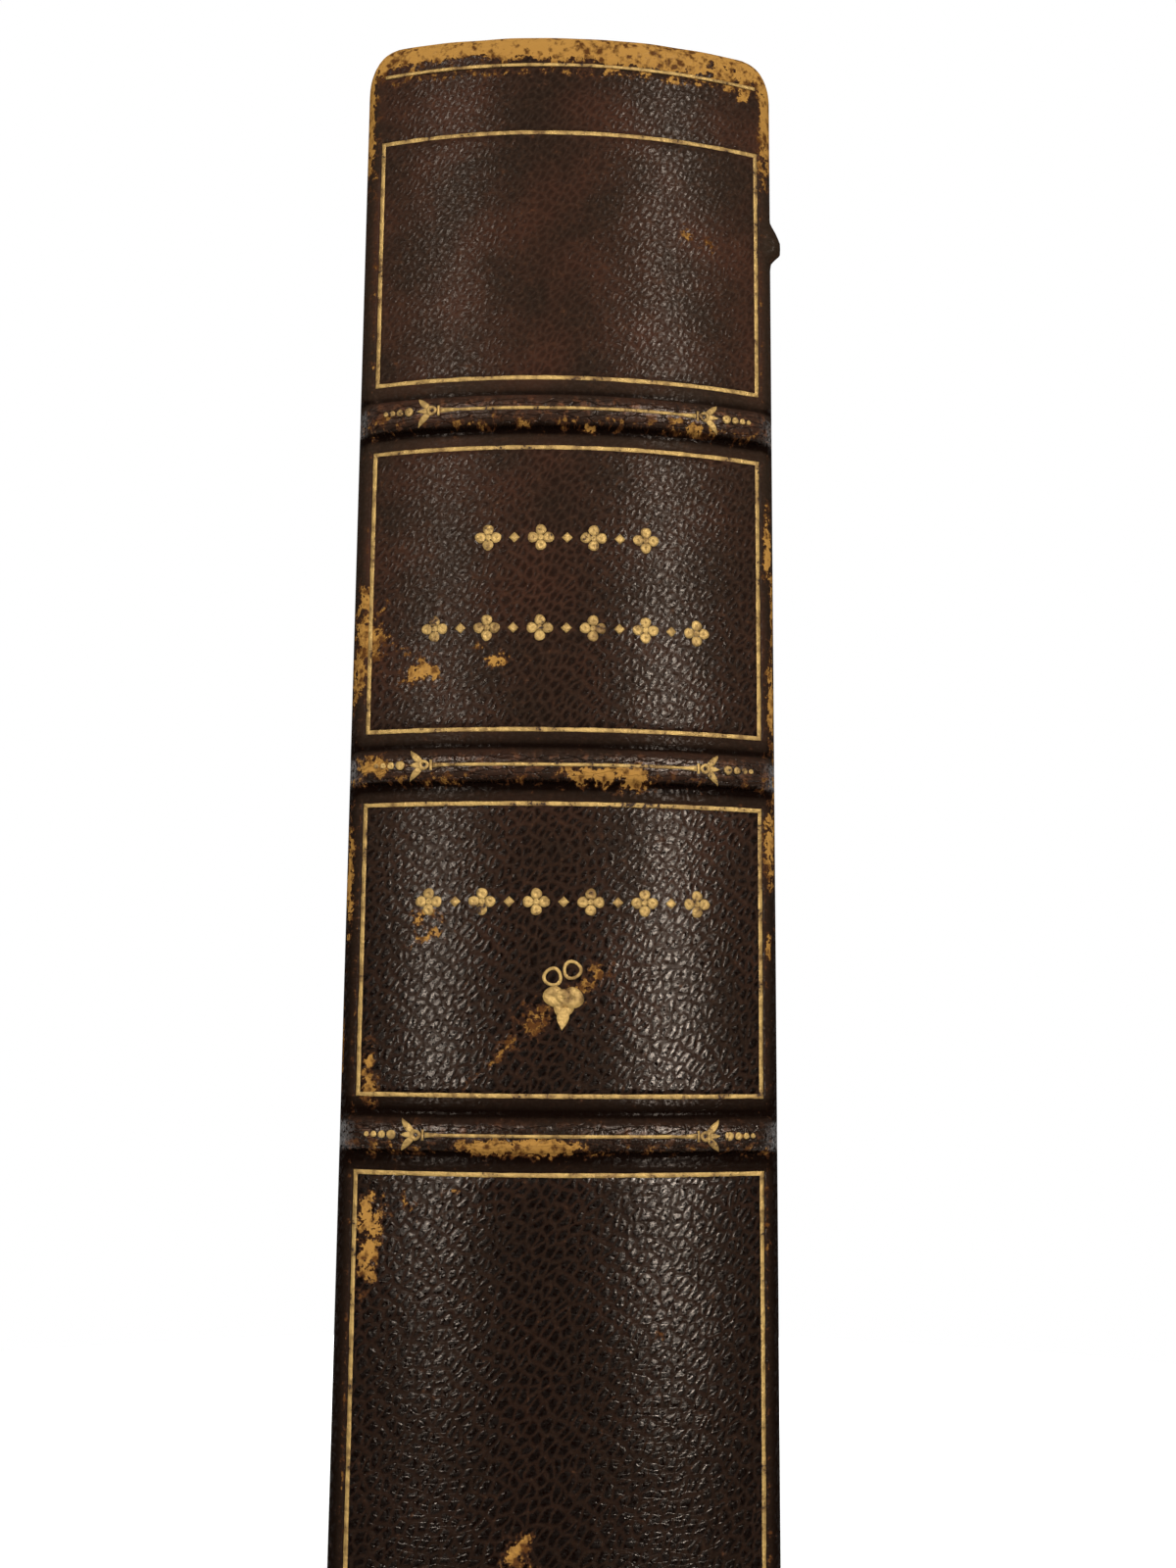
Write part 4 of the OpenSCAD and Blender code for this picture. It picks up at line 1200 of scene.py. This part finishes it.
def cover_skin(side):
    """Grid of a cover's hide, ring by ring: x, y and z of its points, and u and v on the hide map.

    At the joint the hide thins, and dips from the cover's face to the side of the spine."""
    b, cover = book(), settings("book_covers")
    thin = cover.joint_depth / b.cover_thick
    columns = []
    for inset, depth, past in cover_rings():
        y, z = cover_ring(inset)
        flat_y, flat_z = cover_ring(inset if past == 0 else cover.edge_round - past)
        depth = depth * (thin + (1 - thin) * ease(y, b.hinge_y + 0.35 * MM, b.board_y))
        at_joint = 1 - ease(y, b.hinge_y - 0.75 * MM, b.hinge_y + 0.9 * MM)
        dip = (b.cover_x - b.side_x + 0.03 * MM) * at_joint
        waves = np.abs(cover.uneven * ripple(y / (11 * MM), z / (13 * MM), side))
        waves = waves * ease(y, b.hinge_y, b.board_y + 4 * MM) * (1 - ease(depth, 0, 0.5 * MM))
        u = side * (b.joint_s + flat_y - b.hinge_y)
        columns.append((b.cover_x - depth - dip - waves, y, z, u, flat_z))
    return (np.array(part) for part in zip(*columns))


def cover_wear(y, z, side):
    """Fields of a cover's hide: rubbed edges and corners, scuffs on the face, olive at the joint."""
    b = book()
    tail = np.minimum(z, b.height - z) / MM
    fore = (b.fore_y - y) / MM
    joint = (y - b.hinge_y) / MM
    corner = np.hypot(np.maximum(tail, 0), np.maximum(fore, 0))
    spine_end = np.hypot(np.maximum(tail, 0), np.maximum(joint, 0))
    worn = np.maximum.reduce([
        -0.36 - 0.45 * np.minimum(tail, fore) + 0.3 * ripple(y / (5 * MM), z / (6 * MM), side),
        0.95 - 0.17 * corner + 0.1 * ripple(y / (2 * MM), z / (2 * MM), side + 2),
        0.7 - 0.16 * spine_end,
        patch_field(y, z, COVER_SCUFFS),
        -0.42 + 0.42 * ripple(z / (1.6 * MM), 0, 4 + side) - 1.1 * np.abs(joint + 0.4)])
    pressed = 0.9 * (1 - ease(joint, 1.2, 3.4))
    soot = (0.6 if side < 0 else 0.45) * (1 - ease(joint, 0.6, 2.6))
    tone = 0.88 - 0.12 * (1 - ease(joint, 0.5, 3)) + 0.06 * ripple(y / (16 * MM), z / (21 * MM), side)
    return {"worn": np.clip(worn, -1, 1), "pressed": pressed, "soot": soot, "tone": np.clip(tone, 0, 1),
            "rub": np.full_like(tone, 0.15), "scuffed": np.ones_like(tone)}


class BOOK_OT_covers(bpy.types.Operator):
    """Makes the leather of both covers, which thins and dips at the joints"""
    bl_idname = "old_book.covers"
    bl_label = "Cover Leather"

    def execute(self, context):
        b, cover = book(), settings("book_covers")
        for name, side in SIDES.items():
            x, y, z, u, v = cover_skin(side)
            points = np.stack([side * x, y, z], -1).reshape(-1, 3)
            piece = make_piece(f"{name}_cover_hide", points, [quads(*x.shape)], np.stack([u, v], -1),
                               cover_wear(y, z, side), closed=False, facing=(side, 0, 0))
            thicken(piece, cover.skin)
            dress(piece, leather())
            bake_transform(piece)
            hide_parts(f"{name}_leather")
        return {"FINISHED"}


def rounded_path(corners, radii, step):
    """Points along a broken line whose corners are turned on arcs, a step apart on the straight stretches."""
    points = [np.array(corners[0], float)]
    for i in range(1, len(corners) - 1):
        before, here, after = (np.array(corners[j], float) for j in (i - 1, i, i + 1))
        back, on = before - here, after - here
        back, on = back / np.linalg.norm(back), on / np.linalg.norm(on)
        half = math.acos(float(np.clip(back @ on, -1, 1))) / 2
        reach = radii[i - 1] / math.tan(half)
        centre = here + (back + on) / np.linalg.norm(back + on) * radii[i - 1] / math.sin(half)
        first, last = here + back * reach, here + on * reach
        for share in np.linspace(0, 1, 7):
            spoke = (first - centre) * (1 - share) + (last - centre) * share
            points.append(centre + spoke / np.linalg.norm(spoke) * radii[i - 1])
    points.append(np.array(corners[-1], float))
    dense = [points[0]]
    for a, c in zip(points, points[1:]):
        count = max(1, int(np.linalg.norm(c - a) / step))
        dense += [a + (c - a) * k / count for k in range(1, count + 1)]
    return np.array(dense)


class BOOK_OT_endpapers(bpy.types.Operator):
    """Makes the flyleaves and pasted endpapers, whose inner edges run over the shoulders to the joints"""
    bl_idname = "old_book.endpapers"
    bl_label = "Endpapers"

    def paths(self):
        """Paths of both papers in plan, from the shoulder to the fore-edge, for the front of the book."""
        b = book()
        shoulder_x, shoulder_y, fore = b.leaf_high[0] - 0.25 * MM, b.hinge_y - 0.19 * MM, b.leaf_high[1]
        joint_x, joint_y, inner_y = b.side_x - 0.85 * MM, shoulder_y + 0.12 * MM, b.board_y - 0.08 * MM
        flyleaf = [(shoulder_x, shoulder_y), (b.fly_x, shoulder_y), (b.fly_x, fore)]
        pastedown = [(shoulder_x - 0.5 * MM, joint_y), (joint_x, joint_y), (joint_x, inner_y),
                     (b.paste_x, inner_y), (b.paste_x, fore)]
        return (("flyleaf", rounded_path(flyleaf, [0.85 * MM], 4 * MM)),
                ("pastedown", rounded_path(pastedown, [0.3 * MM, 0.3 * MM, 0.25 * MM], 4 * MM)))

    def execute(self, context):
        b, cover, stock = book(), settings("book_covers"), paper("endpaper")
        levels = np.linspace(b.leaf_low[2], b.leaf_high[2], 40)
        for name, side in SIDES.items():
            for kind, path in self.paths():
                (x, z), (y, z) = (np.meshgrid(path[:, k], levels, indexing="ij") for k in (0, 1))
                at_fore = y > b.leaf_high[1] - 0.1 * MM
                y = y + at_fore * (0.18 * MM * ripple(z / (9 * MM), 0, side) - 0.2 * MM)
                piece = make_piece(f"{name}_{kind}_paper", np.stack([side * x, y, z], -1).reshape(-1, 3),
                                   [quads(*x.shape)], closed=False,
                                   facing=(side if kind == "flyleaf" else -side, 0, 0))
                thicken(piece, cover.paper, 0.0)
                dress(piece, stock)
                if kind == "flyleaf":
                    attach(piece, "book_block")
                else:
                    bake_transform(piece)
                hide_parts(f"{name}_{kind}")
        return {"FINISHED"}


class BOOK_OT_leaves(bpy.types.Operator):
    """Makes the block of leaves, rounded and backed, with uneven cut edges"""
    bl_idname = "old_book.leaves"
    bl_label = "Leaves"

    def leaf_places(self, u, v, w):
        """A point of the block from three shares: leaf, spine to fore-edge, and tail to head.

        Leaves are evenly spaced; the spine edge is the arc of the round, the fore-edge the same arc hollow,
        and near the spine the leaves fan out to the shoulders. Each leaf has its own small length."""
        b = book()
        radius = settings("book_spine").round_radius - 1.85 * MM

        def sagitta(half_chord):
            return radius - np.sqrt(radius ** 2 - half_chord ** 2)

        x0 = (2 * u - 1) * b.leaf_x
        uneven = np.sin(u * 9173.0) * np.cos(u * 5417.0)
        fan = b.leaf_high[0] / b.leaf_x
        back = b.leaf_low[1] + sagitta(x0 * fan)
        fore = b.leaf_high[1] + sagitta(x0) - sagitta(b.leaf_x) + 0.09 * MM * uneven
        y = back + v * (fore - back)
        x = x0 * (1 + (fan - 1) * (1 - ease(y, b.hinge_y - 0.4 * MM, b.board_y)))
        low = b.leaf_low[2] + 0.05 * MM * (1 + uneven)
        high = b.leaf_high[2] - 0.05 * MM * (1 - uneven)
        return np.stack(np.broadcast_arrays(x, y, low + w * (high - low)), -1)

    def execute(self, context):
        b = book()
        depth = b.leaf_high[1] - b.leaf_low[1]
        near = np.concatenate([np.linspace(0, 12 * MM, 31), np.linspace(14 * MM, depth, 24)]) / depth
        steps = (np.linspace(0, 1, 331), near, np.linspace(0, 1, 13))
        points, faces, count = [], [], 0
        for fixed in range(3):
            others = [steps[k] for k in range(3) if k != fixed]
            p, q = np.meshgrid(*others, indexing="ij")
            for value in (0.0, 1.0):
                shares = [p, q]
                shares.insert(fixed, np.full_like(p, value))
                points.append(self.leaf_places(*shares).reshape(-1, 3))
                faces.append(quads(*p.shape) + count)
                count += p.size
        piece = make_piece("leaves", np.concatenate(points), faces, smooth=False)
        dress(piece, leaf_edges())
        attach(piece, "book_block")
        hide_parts("text_block")
        return {"FINISHED"}


class BOOK_OT_endbands(bpy.types.Operator):
    """Winds the two sewn endbands"""
    bl_idname = "old_book.endbands"
    bl_label = "Endbands"

    def execute(self, context):
        b, spine = book(), settings("book_spine")
        for name in ("headband", "tailband"):
            low, high = NODE_BOX[name]
            core, middle = (high[2] - low[2]) / 2, (low[2] + high[2]) / 2
            reach = math.asin(high[0] / (spine.round_radius - 2.9 * MM))
            track = spine.round_radius - (low[1] - b.crest_y) - core
            along = np.linspace(-1, 1, THREAD_TURNS * 8 + 1)[:, None]
            around = np.linspace(0, 2 * np.pi, 20, endpoint=False)[None, :]
            phase = (along + 1) / 2 * THREAD_TURNS + around / (2 * np.pi)
            ends = np.clip(np.sqrt(np.clip(1 - np.abs(along) ** 60, 0, 1)), 0.02, 1)
            radius = (core - 0.04 * MM) * (0.9 + 0.1 * np.abs(np.sin(np.pi * phase))) * ends
            out, angle = track + radius * np.cos(around), along * reach
            points = np.stack(np.broadcast_arrays(out * np.sin(angle), b.axis_y - out * np.cos(angle),
                                                  middle + radius * np.sin(around)), -1)
            rows, columns = phase.shape
            rims = [np.arange(columns)[None, :] + row * columns for row in (0, rows - 1)]
            turn = np.where(np.floor(phase) % 4 < 2, 0.0, 1.0)
            piece = make_piece(f"{name}_thread", points.reshape(-1, 3),
                               [quads(rows, columns, round_columns=True), *rims], fields={"turn": turn})
            dress(piece, silk())
            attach(piece, "book_block")
            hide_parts(name)
        return {"FINISHED"}


class BOOK_OT_inner_parts(bpy.types.Operator):
    """Finishes the hidden parts: lining, hollow, band cores, boards and their levelling card"""
    bl_idname = "old_book.inner_parts"
    bl_label = "Inner Parts"

    def execute(self, context):
        lining = woven("lining_cloth", linear(206, 192, 160), linear(120, 104, 78))
        kraft = board_stuff("brown_paper", linear(168, 130, 88), linear(110, 80, 50))
        core = board_stuff("band_leather", linear(128, 92, 62), linear(78, 52, 34))
        mill = board_stuff("millboard", linear(138, 124, 100), linear(74, 62, 48))
        finishes = {"spine_lining": lining, "hollow_back": kraft}
        finishes.update({f"raised_band_{i}": core for i in BAND_NUMBERS})
        finishes.update({f"{name}_{part}": mill for name in SIDES for part in ("board", "infill")})
        for node, material in finishes.items():
            mesh = frame["nodes"][node].data
            mesh.materials.clear()
            mesh.materials.append(material)
        return {"FINISHED"}


class BOOK_OT_stage(bpy.types.Operator):
    """Sets the floor, the light and the camera"""
    bl_idname = "old_book.stage"
    bl_label = "Studio"

    def floor(self):
        """A round pale floor that keeps the shadow near the book and passes into the white background."""
        angle = np.linspace(0, 2 * np.pi, 64, endpoint=False)[:, None]
        reach = np.array(FLOOR_RINGS)[None, :]
        level = np.full((angle.size, reach.size), -0.02 * MM)
        points = np.stack([reach * np.cos(angle), reach * np.sin(angle), level], -1)
        floor = make_piece("floor", points.reshape(-1, 3), [quads(*level.shape, round_rows=True)],
                           closed=False, facing=(0, 0, 1))
        f = Finish("pale_floor")
        place = f.object_place()
        away = f.node("ShaderNodeVectorMath", {"operation": "LENGTH"}, {0: place}, output="Value")
        seen = f.node("ShaderNodeLightPath", output="Is Camera Ray")
        glow = f.mix((seen * (0.35 + 0.8 * away.ease(0.16, 0.44))).clamp(), (0, 0, 0), (1, 1, 1))
        f.look(f.mix(0.1 * f.noise(place, 60, 3), (0.8, 0.8, 0.8), (0.7, 0.7, 0.69)), 0.8, 0.1,
               Emission_Color=glow, Emission_Strength=1.0)
        floor.data.materials.append(f.material)
        floor.visible_glossy = False

    def world(self):
        """Even light from all round, white to the camera; gloss mirrors it dark in front and pale behind."""
        scene, studio = bpy.context.scene, settings("book_studio")
        scene.world = bpy.data.worlds.new("studio_air")
        scene.world.use_nodes = True
        scene.world.cycles.sampling_method = "NONE"
        air = Nodes(scene.world.node_tree)
        camera, glossy, through = (air.node("ShaderNodeLightPath", output=f"Is {kind} Ray")
                                   for kind in ("Camera", "Glossy", "Transmission"))
        way = air.node("ShaderNodeTexCoord", output="Generated")
        backwards = air.node("ShaderNodeSeparateXYZ", {}, {0: way}, output="Y")
        mirrored = studio.front + (studio.behind - studio.front) * backwards.ease(-0.3, 0.3)
        strength = (studio.fill + glossy * (mirrored - studio.fill)).most(camera).most(through)
        air.shader_to("ShaderNodeBackground", "ShaderNodeOutputWorld",
                      {"Color": (1, 1, 1), "Strength": strength})

    def lamp(self, name, place, size, power, mirrored):
        """A soft rectangular lamp that looks at the middle of the spine; polish may mirror it or not."""
        light = bpy.data.lights.new(name, "AREA")
        light.shape, light.size, light.size_y, light.energy = "RECTANGLE", size[0], size[1], power
        lamp = bpy.data.objects.new(name, light)
        aim = Vector((0, CAD_BOX[0][1], CAD_BOX[1][2] * 0.55)) - Vector(place)
        lamp.location = place
        lamp.rotation_euler = aim.to_track_quat("-Z", "Y").to_euler()
        lamp.visible_glossy = mirrored
        bpy.context.scene.collection.objects.link(lamp)

    def lamps(self):
        """Two narrow tall lamps for the streaks on the leather, and two wide ones that only light."""
        studio = settings("book_studio")
        for name, azimuth, share in STRIP_LAMPS:
            a = math.radians(azimuth)
            place = (studio.strip_away * math.sin(a), -0.07 - studio.strip_away * math.cos(a),
                     studio.strip_height)
            self.lamp(name, place, STRIP_SIZE, share * studio.strip, True)
        for name, place, size, power in SOFT_LAMPS:
            self.lamp(name, place, size, power, False)

    def camera(self):
        """The camera of the photograph: its place, and its pitch, turn and roll."""
        studio = settings("book_studio")
        pitch, yaw, roll = (math.radians(a) for a in (studio.pitch, studio.yaw, studio.roll))
        ahead = Vector((math.sin(yaw) * math.cos(pitch), math.cos(yaw) * math.cos(pitch), math.sin(pitch)))
        level = Vector((math.cos(yaw), -math.sin(yaw), 0))
        above = level.cross(ahead)
        right = math.cos(roll) * level + math.sin(roll) * above
        up = math.cos(roll) * above - math.sin(roll) * level
        camera = bpy.data.objects.new("camera", bpy.data.cameras.new("camera"))
        camera.data.sensor_width, camera.data.lens = 36, studio.lens
        camera.data.clip_start = 0.01
        place = Vector((studio.aside, book().crest_y - studio.distance, studio.height))
        turn = Matrix([right, up, -ahead]).transposed()
        camera.matrix_world = Matrix.Translation(place) @ turn.to_4x4()
        bpy.context.scene.collection.objects.link(camera)
        bpy.context.scene.camera = camera

    def execute(self, context):
        self.floor()
        self.world()
        self.lamps()
        self.camera()
        context.scene.view_settings.view_transform = "Standard"
        return {"FINISHED"}


class BOOK_PT_panel(bpy.types.Panel):
    """Lists the steps of the book in the sidebar"""
    bl_label = "Antique Leather Book"
    bl_idname = "BOOK_PT_panel"
    bl_space_type = "VIEW_3D"
    bl_region_type = "UI"
    bl_category = "Old Book"

    def draw(self, context):
        for step in STEPS:
            self.layout.operator(step.bl_idname)
        for name in GROUPS:
            box = self.layout.box()
            for prop in GROUPS[name].__annotations__:
                box.prop(getattr(context.scene, name), prop)


GROUPS = {"book_spine": SpineSizes, "book_gilt": GiltSizes, "book_covers": CoverSizes, "book_wear": WearSizes,
          "book_grain": GrainSizes, "book_colours": Colours, "book_studio": Studio}
STEPS = (BOOK_OT_spine_leather, BOOK_OT_gilt, BOOK_OT_covers, BOOK_OT_endpapers, BOOK_OT_leaves,
         BOOK_OT_endbands, BOOK_OT_inner_parts, BOOK_OT_stage)


def register():
    """Registers the classes and hangs the groups of properties on the scene."""
    for group in (*GROUPS.values(), *STEPS, BOOK_PT_panel):
        bpy.utils.register_class(group)
    for name, group in GROUPS.items():
        setattr(bpy.types.Scene, name, PointerProperty(type=group))


def unregister():
    """Takes away what register added."""
    for name in GROUPS:
        delattr(bpy.types.Scene, name)
    for group in reversed((*GROUPS.values(), *STEPS, BOOK_PT_panel)):
        bpy.utils.unregister_class(group)


def main():
    """Makes every piece in order."""
    register()
    for step in STEPS:
        group, name = step.bl_idname.split(".")
        getattr(getattr(bpy.ops, group), name)()


if __name__ == "__main__":
    main()
